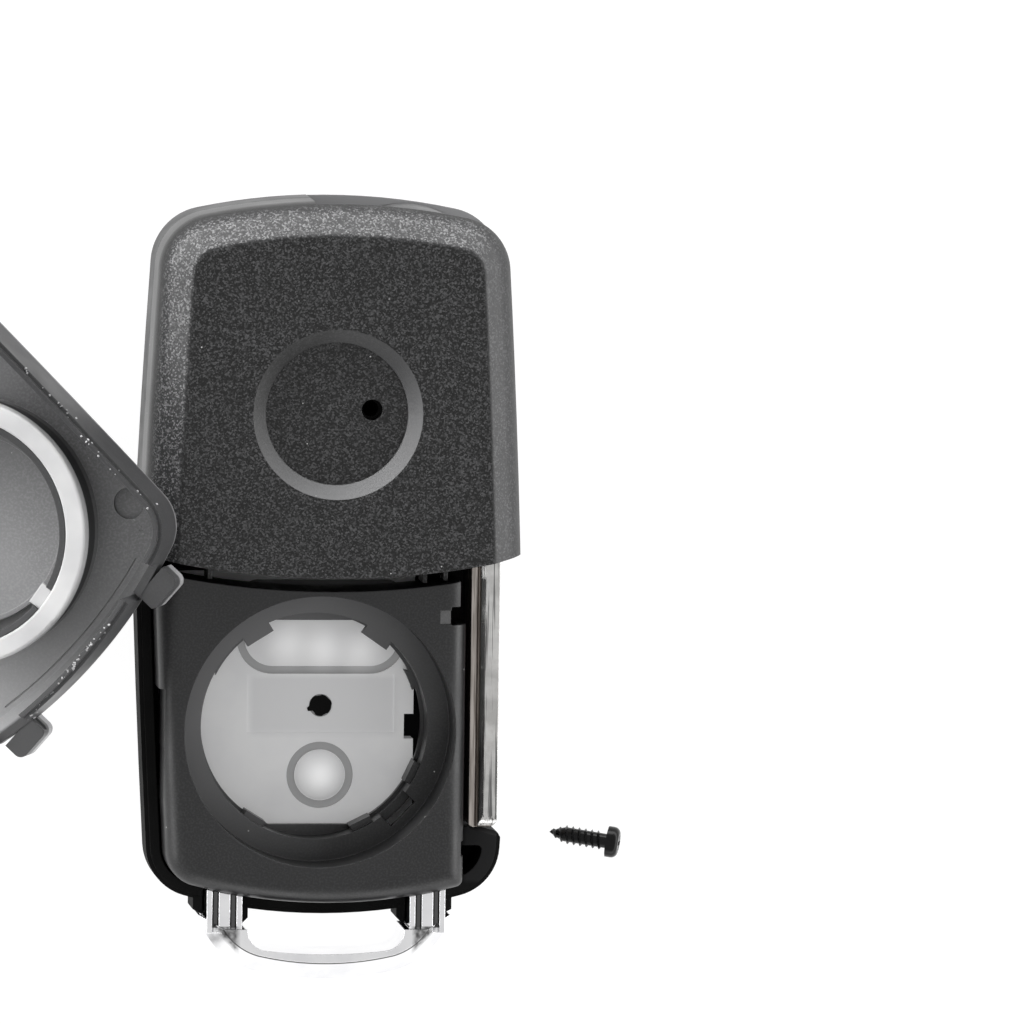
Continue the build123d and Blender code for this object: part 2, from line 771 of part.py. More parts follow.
def blade():
    """Steel blade with point-symmetric rebates, shoulder, stamped line and tang."""
    length = shank_length
    low, high = blade_mid_z - blade_width / 2, blade_mid_z + blade_width / 2
    left, right = blade_left, blade_right
    slope_end = right - land_width
    slope_start = slope_end - slope_wide
    floor = high - rebate_deep
    half = [
        (left, floor - 2 * edge_break),
        (left + edge_break, floor),
        (left + groove_x, floor),
        (left + groove_x + groove_below / 2, floor - groove_below),
        (slope_start, floor - groove_below),
        (slope_start, high - slope_deep),
        (slope_end, high),
        (right, high),
    ]
    turned = [(left + right - x, 2 * blade_mid_z - z) for x, z in half]
    section = make_face(Plane.XZ * Polyline(*half, *turned, close=True))
    cut_end = blade_tip + length
    bar = Pos(0, blade_tip, 0) * extrude(section, length, dir=(0, 1, 0))
    tip_edges = [e for e in bar.edges() if abs(e.center().Y - blade_tip) < 1e-3]
    bar = fillet([e for e in tip_edges if e.bounding_box().size.Z > blade_width / 2], tip_round)
    side = Rectangle(2 * length, high - low)
    side = fillet(side.vertices().sort_by(Axis.X)[:2], tip_corner)
    side = Plane.YZ * (Pos(blade_tip + length, blade_mid_z) * side)
    bar = bar & extrude(side, BIG, dir=(1, 0, 0))
    shank_low, shank_high = blade_mid_z - shank_width / 2, blade_mid_z + shank_width / 2
    shank = block(left, right, cut_end, arm_foot, shank_low, shank_high)
    tang_low, tang_high = blade_mid_z - tang_width / 2, blade_mid_z + tang_width / 2
    tang = block(left, right, arm_foot, tang_end, tang_low, tang_high)
    stamp_y = min(blade_tip + stamp_from_tip, arm_foot - stamp_wide)
    for x in (left, right):
        cut = block(x - stamp_deep, x + stamp_deep, stamp_y, stamp_y + stamp_wide, 0, BIG)
        shank = shank - cut
    bore = Pos(0, pin_y, blade_mid_z) * (Rot(0, 90, 0) * Cylinder(pin_radius + 0.02, BIG))
    return bar + shank + (tang - bore)


def blade_pin():
    """Roll pin that holds the tang in the hub."""
    length = blade_right - 0.1 - pin_inner
    pin = Cylinder(pin_radius, length) - Cylinder(pin_radius / 2, length + 1)
    seam = Pos(0, pin_radius / 2, 0) * Box(0.2, pin_radius + 0.2, length + 1)
    pin = pin - seam
    return Pos(pin_inner + length / 2, pin_y, blade_mid_z) * (Rot(0, 90, 0) * pin)


def cross_plan(grow=0.0):
    """Plan of the locking cross, about the pivot."""
    wide = cross_arm + 2 * grow
    long = 2 * (cross_radius + grow)
    bars = Rectangle(long, wide) + Rectangle(wide, long)
    plan = (bars + Circle(release_radius + grow - 0.4)) & Circle(cross_radius + grow)
    return Pos(pivot_x, pivot_y) * plan


def blade_hub():
    """Moulded hub: drum with spring well, web on the pivot post, and the blade arm."""
    hub = drum(hub_radius, hub_low, hub_high, pivot_x, pivot_y)
    arm = block(arm_left, blade_right, arm_foot, pivot_y, hub_low, hub_high)
    outer = arm.edges().filter_by(Axis.Z).sort_by(Axis.X)[-2:]
    arm = fillet(outer, arm_round)
    hub = hub + arm
    web_high = web_low + web_thick
    hub = hub - drum(spring_room, web_high, BIG, pivot_x, pivot_y)
    hub = hub - slab(cross_plan(cross_clear), 0, web_low)
    cap_top = cross_low + release_travel + cross_clear
    hub = hub - drum(release_radius + cross_clear, 0, cap_top, pivot_x, pivot_y)
    hub = hub - drum(post_radius + bore_clear, 0, BIG, pivot_x, pivot_y)
    half = tang_width / 2 + 0.03
    pocket = block(
        blade_left - 0.03, BIG, arm_foot - 1, tang_end + 0.05, blade_mid_z - half, blade_mid_z + half
    )
    hub = hub - pocket
    length = blade_left - pin_inner + 0.1
    bore = Pos(blade_left - length / 2 + 0.05, pin_y, blade_mid_z) * (
        Rot(0, 90, 0) * Cylinder(pin_radius + 0.02, length + 0.1)
    )
    return hub - bore


def lock_cross():
    """Cross that keys the hub to the shell until the button is pressed."""
    return slab(cross_plan(), cross_low, cross_low + cross_thick)


def release_button():
    """Round button cap on the front face, dished for a fingertip."""
    cap = drum(release_radius, release_recess, cross_low, pivot_x, pivot_y)
    cap = fillet(level_edges(cap, release_recess, lambda p: True), cap_soft)
    dish = Pos(pivot_x, pivot_y, release_recess + dish_deep - dish_radius) * Sphere(dish_radius)
    return cap - dish


def release_bezel():
    """Ring round the release button, held by a flange inside the shell."""
    inner = release_radius + release_clear
    ring = tube(inner, bezel_radius, bezel_recess, face_wall, pivot_x, pivot_y)
    ring = fillet(level_edges(ring, bezel_recess, lambda p: True), cap_soft)
    flange = tube(inner, bezel_flange, face_wall, face_wall + bezel_flange_thick, pivot_x, pivot_y)
    return ring + flange


def flip_spring():
    """Coil that throws the blade out, round the pivot post."""
    low = web_low + web_thick + spring_wire / 2 + 0.05
    high = roof_z - washer_thick - spring_wire / 2 - 0.05
    path = Helix((high - low) / spring_turns, high - low, spring_radius)
    start = Plane(origin=path @ 0, z_dir=path % 0)
    coil = sweep(start * Circle(spring_wire / 2), path=path, is_frenet=True)
    return Pos(pivot_x, pivot_y, low) * coil


def spring_washer():
    """Steel washer between the coil and the rear cover."""
    inner = post_radius + 0.1
    return tube(inner, washer_outer, roof_z - washer_thick, roof_z, pivot_x, pivot_y)


def battery_cover():
    """Battery cover where it fits: plate, skirts, cup, disc, hook and post notches."""
    cover = slab(case_face(cover_inset), rim_height, case_thick)
    cover = cover - above_edge(lid_edge, 0, BIG) - block(channel_x, BIG, -BIG, BIG, 0, BIG)

    def rounded(point):
        reach = hypot(point.X, point.Y - lid_edge - head_edge_radius)
        return point.X < channel_x - 0.1 and reach > head_edge_radius + 0.05

    cover = fillet(level_edges(cover, case_thick, rounded), cover_round)
    inner = slab(case_face(cover_inset + cover_wall), 0, case_thick - cover_plate)
    inner = chamfer(level_edges(inner, case_thick - cover_plate, lambda p: True), cover_inner_bevel)
    cover = cover - (inner - block(channel_x - cover_wall, BIG, -BIG, BIG, -1, BIG))
    # Nothing hangs over the blade channel or the gap below the head
    cover = cover - block(channel_x - cover_wall - 0.1, BIG, -BIG, BIG, 0, frame_top + 0.3)
    wall_low = ledge_z + cup_clear
    cup = tube(cup_inner, cup_outer, cup_step, case_thick - 1, bay_x, bay_y)
    cup = cup + tube(cup_inner, cup_inner + cup_lip, wall_low, cup_step + 0.1, bay_x, bay_y)
    disc_low = case_thick - cover_plate - disc_thick
    disc = drum(disc_radius, disc_low, case_thick - 1, bay_x, bay_y)
    rim_low = disc_low - disc_rim_high
    rim = tube(disc_radius - disc_rim_wide, disc_radius, rim_low, disc_low + 0.1, bay_x, bay_y)
    tab = Box(2 * cup_lip + seal_soft, seal_tab_wide + 0.1, cup_step - wall_low + 0.2)
    cup = cup - around_bay(seal_tab_angle, cup_inner, Pos(0, 0, (wall_low + cup_step) / 2) * tab)
    cover = cover + cup + disc + rim + cover_ears()
    cover = cover - loop_post_rooms(post_clear + 0.2, loop_low + loop_thick + post_clear)
    edge = slab(case_face(cover_inset), 0, rim_height + cover_step_deep)
    cover = cover - (edge - slab(case_face(cover_inset + cover_step), -1, BIG))
    return cover - cover_marks() + hook()


def cover_ears():
    """Two ears of the cover that reach out over the posts of the key ring loop."""
    low = loop_low + loop_thick + 2 * post_clear
    half = ear_wide / 2
    foot = -case_foot - ear_reach
    ear = block(post_mid - half, post_mid + half, foot, foot + 3 * ear_reach, low, case_thick - ear_soft)
    ear = fillet(ear.edges().filter_by(Axis.Z).sort_by(Axis.Y)[:2], ear_soft)
    ear = fillet(level_edges(ear, case_thick - ear_soft, lambda p: p.Y < foot + ear_reach), ear_soft)
    return ear + mirror(ear, about=Plane.YZ)


def cover_marks():
    """Slits beside the ears, the shallow line along the foot and the pockets in the corners."""
    floor = case_thick - cover_plate
    cuts = slab(case_face(line_inset), floor - 1, floor + line_deep)
    cuts = cuts - slab(case_face(line_inset + line_wide), 0, BIG)
    cuts = cuts & block(-post_mid, post_mid, -BIG, foot_y + foot_crown, 0, BIG)
    inside = slab(case_face(cover_inset + cover_wall + pocket_clear), 0, BIG)
    for side in (-1, 1):
        x = side * (post_mid - ear_wide / 2)
        slit = block(x - cover_slit / 2, x + cover_slit / 2, -BIG, cover_slit_y, 0, cover_slit_z)
        pocket = drum(pocket_radius, floor - 1, floor + pocket_deep, side * pocket_x, pocket_y)
        cuts = cuts + slit + (pocket & inside)
    return cuts


def hook():
    """Snap hook on the left skirt that enters the side of the frame."""
    low = rim_height + hook_low
    skirt = slab(case_face(cover_inset + cover_wall - 0.1), low, low + hook_high)
    skirt = skirt - slab(case_face(cover_inset + cover_wall + hook_deep), 0, BIG)
    return skirt & block(-BIG, 0, hook_y - hook_wide / 2, hook_y + hook_wide / 2, 0, BIG)


def cover_seal():
    """Flat silicone ring on the step of the cup."""
    inner = cup_inner + cup_lip + 0.02
    low = ledge_z + cup_clear - 0.15
    ring = tube(inner, seal_outer, low, cup_step, bay_x, bay_y)
    ring = fillet(level_edges(ring, low, lambda p: True), min(seal_soft, (seal_outer - inner) / 3))
    length = inner - seal_tab_inner + 0.3
    tab = Pos(length / 2, 0, (low + cup_step) / 2 + seal_soft) * Box(length, seal_tab_wide, 2 * seal_soft)
    return ring + around_bay(seal_tab_angle, seal_tab_inner, tab)


def leaned(piece):
    """Turns a piece of the battery cover over and leans it the way the loose cover leans."""
    turned = Rot(0, 0, cover_turn) * (Rot(180, 0, 0) * (Pos(-bay_x, -bay_y, -case_thick) * piece))
    level = Rot(0, 0, -cover_tilt_way) * turned
    return Rot(0, 0, cover_tilt_way) * (Rot(0, -cover_tilt, 0) * level)


def loose_cover():
    """The battery cover and its seal, lying with the far edge on the resting plane."""
    cover = leaned(battery_cover())
    place = Pos(cover_x, cover_y, -cover.bounding_box().min.Z)
    return {"battery_cover": place * cover, "cover_seal": place * leaned(cover_seal())}


def case_screw():
    """Pan head screw with a cross recess, lying on its side."""
    shank = screw_length - screw_head_thick
    body = Pos(0, 0, (shank + screw_tip) / 2) * Cylinder(screw_shank / 2, shank - screw_tip)
    body = body + Pos(0, 0, screw_tip / 2) * Cone(0.12, screw_shank / 2, screw_tip)
    for turn in range(int((shank - screw_tip) / thread_pitch)):
        ridge = Cone(screw_shank / 2 - 0.1, screw_thread / 2, thread_pitch / 2)
        body = body + Pos(0, 0, screw_tip + (turn + 0.6) * thread_pitch) * ridge
    head = Pos(0, 0, shank + screw_head_thick / 2) * Cylinder(screw_head / 2, screw_head_thick)
    head = fillet(head.edges().sort_by(Axis.Z)[-1:], 0.7)
    for angle in (0, 90):
        slot = Rot(0, 0, angle) * Box(screw_head * 0.58, screw_slot, 2 * screw_slot_deep)
        head = head - Pos(0, 0, screw_length) * slot
    lean = degrees(acos(0) - acos(screw_head / 2 / hypot(shank, screw_head / 2)))
    lying = Rot(0, 90 - lean, 0) * (body + head)
    box = lying.bounding_box()
    return Pos(screw_lie_x, screw_lie_y, 0) * (Rot(0, 0, screw_lie_turn) * (Pos(0, 0, -box.min.Z) * lying))


def build():
    """Makes every piece of the key and writes it to its own file."""
    pieces = {
        "front_shell": front_shell(),
        "head_rear_cover": head_rear_cover(),
        "battery_frame": battery_frame(),
        "keypad": keypad(),
        "contact_pill": contact_pill(),
        "key_ring_loop": key_ring_loop(),
        "release_bezel": release_bezel(),
        "spring_washer": spring_washer(),
        **loose_cover(),
        "case_screw": case_screw(),
        "blade_hub": blade_hub(),
        "blade": blade(),
        "blade_pin": blade_pin(),
        "flip_spring": flip_spring(),
        "release_button": release_button(),
        "lock_cross": lock_cross(),
    }
    for name, face_of in CAPS.items():
        pieces[name] = button_cap(face_of)
    os.makedirs("parts", exist_ok=True)
    for name, piece in pieces.items():
        export_step(piece, f"parts/{name}.step")


if __name__ == "__main__":
    build()
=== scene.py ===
import json
import logging
import math
import random
from collections.abc import Callable, Iterator
from contextlib import contextmanager
from dataclasses import dataclass, field
from enum import Enum
from typing import ClassVar

import bmesh
import bpy
from mathutils import Matrix, Vector

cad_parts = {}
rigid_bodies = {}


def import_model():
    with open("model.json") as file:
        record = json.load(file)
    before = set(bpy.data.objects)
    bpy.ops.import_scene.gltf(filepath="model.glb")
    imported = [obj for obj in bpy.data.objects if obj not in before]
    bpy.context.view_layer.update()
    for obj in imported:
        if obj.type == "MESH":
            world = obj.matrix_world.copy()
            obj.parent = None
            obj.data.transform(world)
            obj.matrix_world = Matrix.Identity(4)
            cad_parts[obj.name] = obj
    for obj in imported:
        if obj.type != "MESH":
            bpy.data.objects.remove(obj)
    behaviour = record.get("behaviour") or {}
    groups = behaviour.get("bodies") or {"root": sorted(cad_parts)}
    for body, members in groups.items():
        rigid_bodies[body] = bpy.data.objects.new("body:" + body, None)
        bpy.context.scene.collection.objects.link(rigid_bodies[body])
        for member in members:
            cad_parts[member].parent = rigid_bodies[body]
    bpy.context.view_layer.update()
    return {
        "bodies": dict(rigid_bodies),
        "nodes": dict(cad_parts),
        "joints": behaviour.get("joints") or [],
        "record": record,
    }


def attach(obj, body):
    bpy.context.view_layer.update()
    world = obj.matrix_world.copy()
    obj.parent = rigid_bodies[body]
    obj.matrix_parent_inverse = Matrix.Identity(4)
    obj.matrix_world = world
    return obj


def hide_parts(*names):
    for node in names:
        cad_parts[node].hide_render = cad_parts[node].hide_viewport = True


LOG = logging.getLogger("flip_key")
MM = 0.001
# Further out than the key on every side, in millimetres: an open side of a patch
FAR = 900.0
# Line of sight of the photograph, from the camera to the key
SIGHT = (0.123, -0.0998, -1.0)
# Least height of a unit normal for a face to count as an end of an upright piece
FACING = 0.9

Socket = bpy.types.NodeSocket
Tree = bpy.types.NodeTree
Piece = bpy.types.Object
Material = bpy.types.Material
Point = tuple[float, float, float]
Span = tuple[float, float]
Colour = tuple[float, float, float, float]
Input = Socket | str | float | Point | Colour
Frame = dict[str, dict[str, Piece]]


class Surface(Enum):
    """How a surface was made."""

    SPARK = "spark-eroded mould, fine grain"
    POLISHED = "polished mould, light scuffs"
    SILICONE = "compression-moulded silicone"
    PLATED = "plated and buffed"
    DRAWN = "drawn or ground steel"

    @property
    def detail(self) -> float:
        """Octaves of the grain's noise."""
        return 2.5 if self in (Surface.SPARK, Surface.DRAWN) else 1.0


class Kind(Enum):
    """Kinds of node in use: the type's name, and the output that is read unless a call names one.

    A RANGE turns its input 0 from the values 1 and 2 to the results 3 and 4, which are 0 and 1
    where they aren't given. It is clamped, and value 1 may be above value 2.
    """

    COORDINATES = ("ShaderNodeTexCoord", "Object")
    MAPPING = ("ShaderNodeMapping", "Vector")
    GEOMETRY = ("ShaderNodeNewGeometry", "Normal")
    AXES = ("ShaderNodeSeparateXYZ", "Z")
    CHANNELS = ("ShaderNodeSeparateColor", 0)
    NOISE = ("ShaderNodeTexNoise", "Fac")
    CELLS = ("ShaderNodeTexVoronoi", "Distance")
    OPENNESS = ("ShaderNodeAmbientOcclusion", "AO")
    SOFT_EDGE = ("ShaderNodeBevel", 0)
    BUMP = ("ShaderNodeBump", "Normal")
    RANGE = ("ShaderNodeMapRange", "Result")
    MATH = ("ShaderNodeMath", 0)
    VECTOR = ("ShaderNodeVectorMath", 0)
    MIX = ("ShaderNodeMix", 2)
    RAMP = ("ShaderNodeValToRGB", "Color")
    RAYS = ("ShaderNodeLightPath", "Is Camera Ray")
    MATT = ("ShaderNodeBsdfDiffuse", 0)
    GLOW = ("ShaderNodeEmission", 0)
    SKY = ("ShaderNodeBackground", 0)
    EITHER = ("ShaderNodeMixShader", 0)

    @property
    def type_name(self) -> str:
        """The node type's name."""
        return self.value[0]

    @property
    def output(self) -> str | int:
        """Name or number of the output that is read."""
        return self.value[1]


def linear(hex_colour: str) -> Colour:
    """Turns an sRGB hex colour to linear light.

    Args:
        hex_colour: Colour such as "#2c2c2e".

    Returns:
        Red, green, blue and an alpha of 1.
    """
    values = [int(hex_colour[i : i + 2], 16) / 255 for i in (1, 3, 5)]
    straight = [v / 12.92 if v <= 0.04045 else ((v + 0.055) / 1.055) ** 2.4 for v in values]
    return (*straight, 1.0)


def grey(level: float) -> Colour:
    """A grey of a linear level."""
    return (level, level, level, 1.0)


@dataclass(frozen=True)
class Patch:
    """A box in which a finish has another colour, in millimetres."""

    low: Point
    high: Point
    colour: str
    soft: float = 0.3


@dataclass(frozen=True)
class Canvas:
    """A node tree, with the coordinates that its patterns read."""

    tree: Tree
    place: Socket | None = None
    lay: Socket | None = None

    def add(
        self,
        kind: Kind,
        inputs: dict[str | int, Input] | None = None,
        output: str | int | None = None,
        **settings: object,
    ) -> Socket:
        """Adds one node with its settings, its fixed inputs and its links.

        Args:
            kind: Kind of node.
            inputs: What each input gets, by its name or number: another node's output, a
                value, or a hex colour.
            output: Output to give back, where it isn't the kind's usual one.
            settings: The node's own settings.

        Returns:
            The output.
        """
        node = self.tree.nodes.new(kind.type_name)
        for name, value in settings.items():
            setattr(node, name, value)
        for name, value in (inputs or {}).items():
            if isinstance(value, Socket):
                self.tree.links.new(value, node.inputs[name])
            else:
                node.inputs[name].default_value = linear(value) if isinstance(value, str) else value
        return node.outputs[kind.output if output is None else output]

    def cloud(
        self, at: Socket, size_mm: float, detail: float, span: Span, to: Span = (0.0, 1.0)
    ) -> Socket:
        """Noise whose blobs repeat about every size_mm, spread over a range.

        Args:
            at: Coordinates.
            size_mm: Distance from one blob to the next, in millimetres.
            detail: Octaves.
            span: Values of the noise, which is 0.5 on average, that give the range's ends.
            to: Ends of the range.

        Returns:
            The pattern.
        """
        raw = self.add(Kind.NOISE, {"Vector": at, "Scale": 1.0 / (size_mm * MM), "Detail": detail})
        return self.add(Kind.RANGE, {0: raw, 1: span[0], 2: span[1], 3: to[0], 4: to[1]})

    def meet(self, *masks: Input) -> Socket:
        """Product of several masks, which is 1 only where all of them are.

        Args:
            masks: The masks, the first of them an output.

        Returns:
            The product.
        """
        product, *others = masks
        for other in others:
            product = self.add(Kind.MATH, {0: product, 1: other}, operation="MULTIPLY")
        return product

    def tint(self, under: Input, over: Input, *masks: Socket) -> Socket:
        """Lays one colour over another where masks meet.

        Args:
            under: The colour below.
            over: The colour on top.
            masks: Shares of the colour on top, which are multiplied.

        Returns:
            The colour.
        """
        share = self.meet(*masks)
        return self.add(Kind.MIX, {0: share, 6: under, 7: over}, data_type="RGBA")

    def far_from(self, centre_mm: Point) -> Socket:
        """Distance from a point in millimetres, seen in plan.

        Args:
            centre_mm: The point, whose height doesn't count.

        Returns:
            The distance.
        """
        in_mm = (1.0 / MM, 1.0 / MM, 0.0)
        plan = self.add(Kind.VECTOR, {0: self.place, 1: in_mm}, operation="MULTIPLY")
        centre = (centre_mm[0], centre_mm[1], 0.0)
        return self.add(Kind.VECTOR, {0: plan, 1: centre}, "Value", operation="DISTANCE")

    def within(self, patch: Patch) -> Socket:
        """1 inside a patch and 0 outside, with a soft border.

        Args:
            patch: The patch.

        Returns:
            The mask.
        """
        axes = self.add(Kind.AXES, {0: self.place}).node.outputs
        sides = []
        for axis, *ends in zip("XYZ", patch.low, patch.high, strict=True):
            for edge, way in zip(ends, (1, -1), strict=True):
                if abs(edge) < FAR:
                    outer, inner = ((edge + at * way * patch.soft / 2) * MM for at in (-1, 1))
                    sides.append(self.add(Kind.RANGE, {0: axes[axis], 1: outer, 2: inner}))
        return self.meet(*sides)


@dataclass(frozen=True)
class Finish:
    """One finish: its colours, its gloss and its relief, with sizes in millimetres.

    Each span gives the two values of a pattern between which its effect sets in. The grain of
    a real mould or brushing is finer than 0.1 mm, too fine to show, so it is drawn two or three
    tenths of a millimetre across.
    """

    name: str
    surface: Surface
    colour: str
    shade: str
    roughness: float
    metallic: float = 0.0
    ior: float = 1.5
    specular: float = 0.5
    grain_mm: float = 0.25
    grain_depth: float = 0.0
    grain_colour: str = ""
    grain_span: Span = (0.44, 0.66)
    patch_mm: float = 8.0
    cloud_span: Span = (0.35, 0.65)
    cloud_detail: float = 3.0
    smudge: float = 0.06
    smudge_mm: float = 5.0
    least_roughness: float = 0.02
    scuff: float = 0.0
    scuff_mm: float = 1.6
    scuff_detail: float = 6.0
    scuff_span: Span = (0.58, 0.80)
    scuff_colour: str = "#a0a0a0"
    dust: float = 0.0
    dust_mm: float = 0.09
    dust_cell_mm: float = 2.4
    dust_core: float = 0.6
    dust_colour: str = "#d8d8d8"
    edge_mm: float = 0.0
    # Pale edges: part wear, part painted highlight
    edge_colour: str = ""
    edge_span: Span = (0.90, 0.99)
    edge_share: float = 0.75
    samples: int = 4
    # Colour of sharp edges: part wear, part painted glint
    wear_and_glint: str = ""
    wear_and_glint_span: Span = (0.56, 0.68)
    wear_and_glint_share: float = 0.9
    # Painted shade in crevices: its reach, span, share and colour
    crevice_mm: float = 0.0
    crevice_span: Span = (0.2, 0.6)
    crevice_share: float = 0.85
    crevice_colour: str = "#050505"
    stretch: Point = (1.0, 1.0, 1.0)
    subsurface: float = 0.0
    subsurface_mm: float = 1.5
    emission: float = 0.0
    patches: tuple[Patch, ...] = ()

    def material(self) -> Material:
        """Builds the finish as a material on Object coordinates.

        Returns:
            The material.
        """
        made = bpy.data.materials.new(self.name)
        made.use_nodes = True
        tree = made.node_tree
        inputs = tree.nodes["Principled BSDF"].inputs
        inputs["Metallic"].default_value = self.metallic
        if not self.metallic:
            inputs["IOR"].default_value = self.ior
            inputs["Specular IOR Level"].default_value = self.specular
        inputs["Subsurface Weight"].default_value = self.subsurface
        inputs["Subsurface Radius"].default_value = (1.0, 1.0, 1.0)
        inputs["Subsurface Scale"].default_value = self.subsurface_mm * MM
        inputs["Emission Strength"].default_value = self.emission
        place = Canvas(tree).add(Kind.COORDINATES)
        lay = Canvas(tree).add(Kind.MAPPING, {"Vector": place, "Scale": self.stretch})
        on = Canvas(tree, place, lay)
        for name, source in (
            ("Base Color", self.paint(on)),
            ("Roughness", self.gloss(on)),
            ("Normal", self.relief(on)),
            ("Emission Color", self.light(on)),
        ):
            if source:
                tree.links.new(source, inputs[name])
        return made

    def paint(self, on: Canvas) -> Socket:
        """Colour with cloudy patches, grain, patches, scuffs, dust, pale edges, painted shade in
        crevices, and bright edges that are part wear and part painted glint.

        Args:
            on: The material's canvas.

        Returns:
            The colour.
        """
        cloud = on.cloud(on.place, self.patch_mm, self.cloud_detail, self.cloud_span)
        colour = on.tint(self.colour, self.shade, cloud)
        if self.grain_colour:
            grain = on.cloud(on.lay, self.grain_mm, self.surface.detail, self.grain_span)
            colour = on.tint(colour, self.grain_colour, grain)
        for patch in self.patches:
            colour = on.tint(colour, patch.colour, on.within(patch))
        if self.scuff:
            ends = (0.0, self.scuff)
            marks = on.cloud(on.lay, self.scuff_mm, self.scuff_detail, self.scuff_span, ends)
            colour = on.tint(colour, self.scuff_colour, marks)
        if self.dust:
            colour = on.tint(colour, self.dust_colour, self.specks(on))
        # Pale edges: part wear, part painted highlight
        if self.edge_colour:
            colour = on.tint(colour, self.edge_colour, self.edges(on))
        # Painted shade where nearby faces hem the surface in
        if self.crevice_mm:
            reach = {"Distance": self.crevice_mm * MM}
            clear = on.add(Kind.OPENNESS, reach, samples=self.samples)
            low, high = self.crevice_span
            painted_shade = on.add(Kind.RANGE, {0: clear, 1: low, 2: high, 3: self.crevice_share, 4: 0.0})
            colour = on.tint(colour, self.crevice_colour, painted_shade)
        # Sharp edges made brighter: part wear, part painted glint
        if self.wear_and_glint:
            sharp = on.add(Kind.GEOMETRY, output="Pointiness")
            low, high = self.wear_and_glint_span
            wear_and_glint_mask = on.add(Kind.RANGE, {0: sharp, 1: low, 2: high, 4: self.wear_and_glint_share})
            colour = on.tint(colour, self.wear_and_glint, wear_and_glint_mask)
        return colour

    def edges(self, on: Canvas) -> Socket:
        """Mask of the edges, found where the rounded normal leaves the true one.

        Args:
            on: The material's canvas.

        Returns:
            The mask, at most the edges' share.
        """
        true_way = on.add(Kind.GEOMETRY, output="True Normal")
        soft = on.add(Kind.SOFT_EDGE, {"Radius": self.edge_mm * MM}, samples=self.samples)
        same = on.add(Kind.VECTOR, {0: true_way, 1: soft}, "Value", operation="DOT_PRODUCT")
        low, high = self.edge_span
        return on.add(Kind.RANGE, {0: same, 1: low, 2: high, 3: self.edge_share, 4: 0.0})

    def specks(self, on: Canvas) -> Socket:
        """Rare round specks of dust, a tenth of a millimetre across so that they show.

        Args:
            on: The material's canvas.

        Returns:
            0 off the specks, and on them the dust's share.
        """
        cells = {"Vector": on.place, "Scale": 1.0 / (self.dust_cell_mm * MM)}
        away = on.add(Kind.CELLS, cells)
        size = self.dust_mm / self.dust_cell_mm
        core = size * self.dust_core
        return on.add(Kind.RANGE, {0: away, 1: core, 2: size, 3: self.dust, 4: 0.0})

    def gloss(self, on: Canvas) -> Socket:
        """Roughness that varies over the surface.

        Args:
            on: The material's canvas.

        Returns:
            The roughness.
        """
        low = max(self.roughness - self.smudge, self.least_roughness)
        high = min(self.roughness + self.smudge, 1.0)
        return on.cloud(on.lay, self.smudge_mm, self.cloud_detail, self.cloud_span, (low, high))

    def relief(self, on: Canvas) -> Socket | None:
        """Grain over softly broken edges.

        Args:
            on: The material's canvas.

        Returns:
            The normal, or nothing where the surface is smooth and its edges are sharp.
        """
        normal = None
        if self.edge_mm:
            radius = {"Radius": self.edge_mm * MM}
            normal = on.add(Kind.SOFT_EDGE, radius, samples=self.samples)
        if self.grain_depth:
            pattern = {"Vector": on.lay, "Scale": 1.0 / (self.grain_mm * MM)}
            height = on.add(Kind.NOISE, pattern | {"Detail": self.surface.detail})
            inputs = {"Strength": 1.0, "Distance": self.grain_depth * MM, "Height": height}
            normal = on.add(Kind.BUMP, inputs | ({"Normal": normal} if normal else {}))
        return normal

    def light(self, on: Canvas) -> Socket | None:
        """Colour of a painted glow: none, as most finishes have none."""
        return None


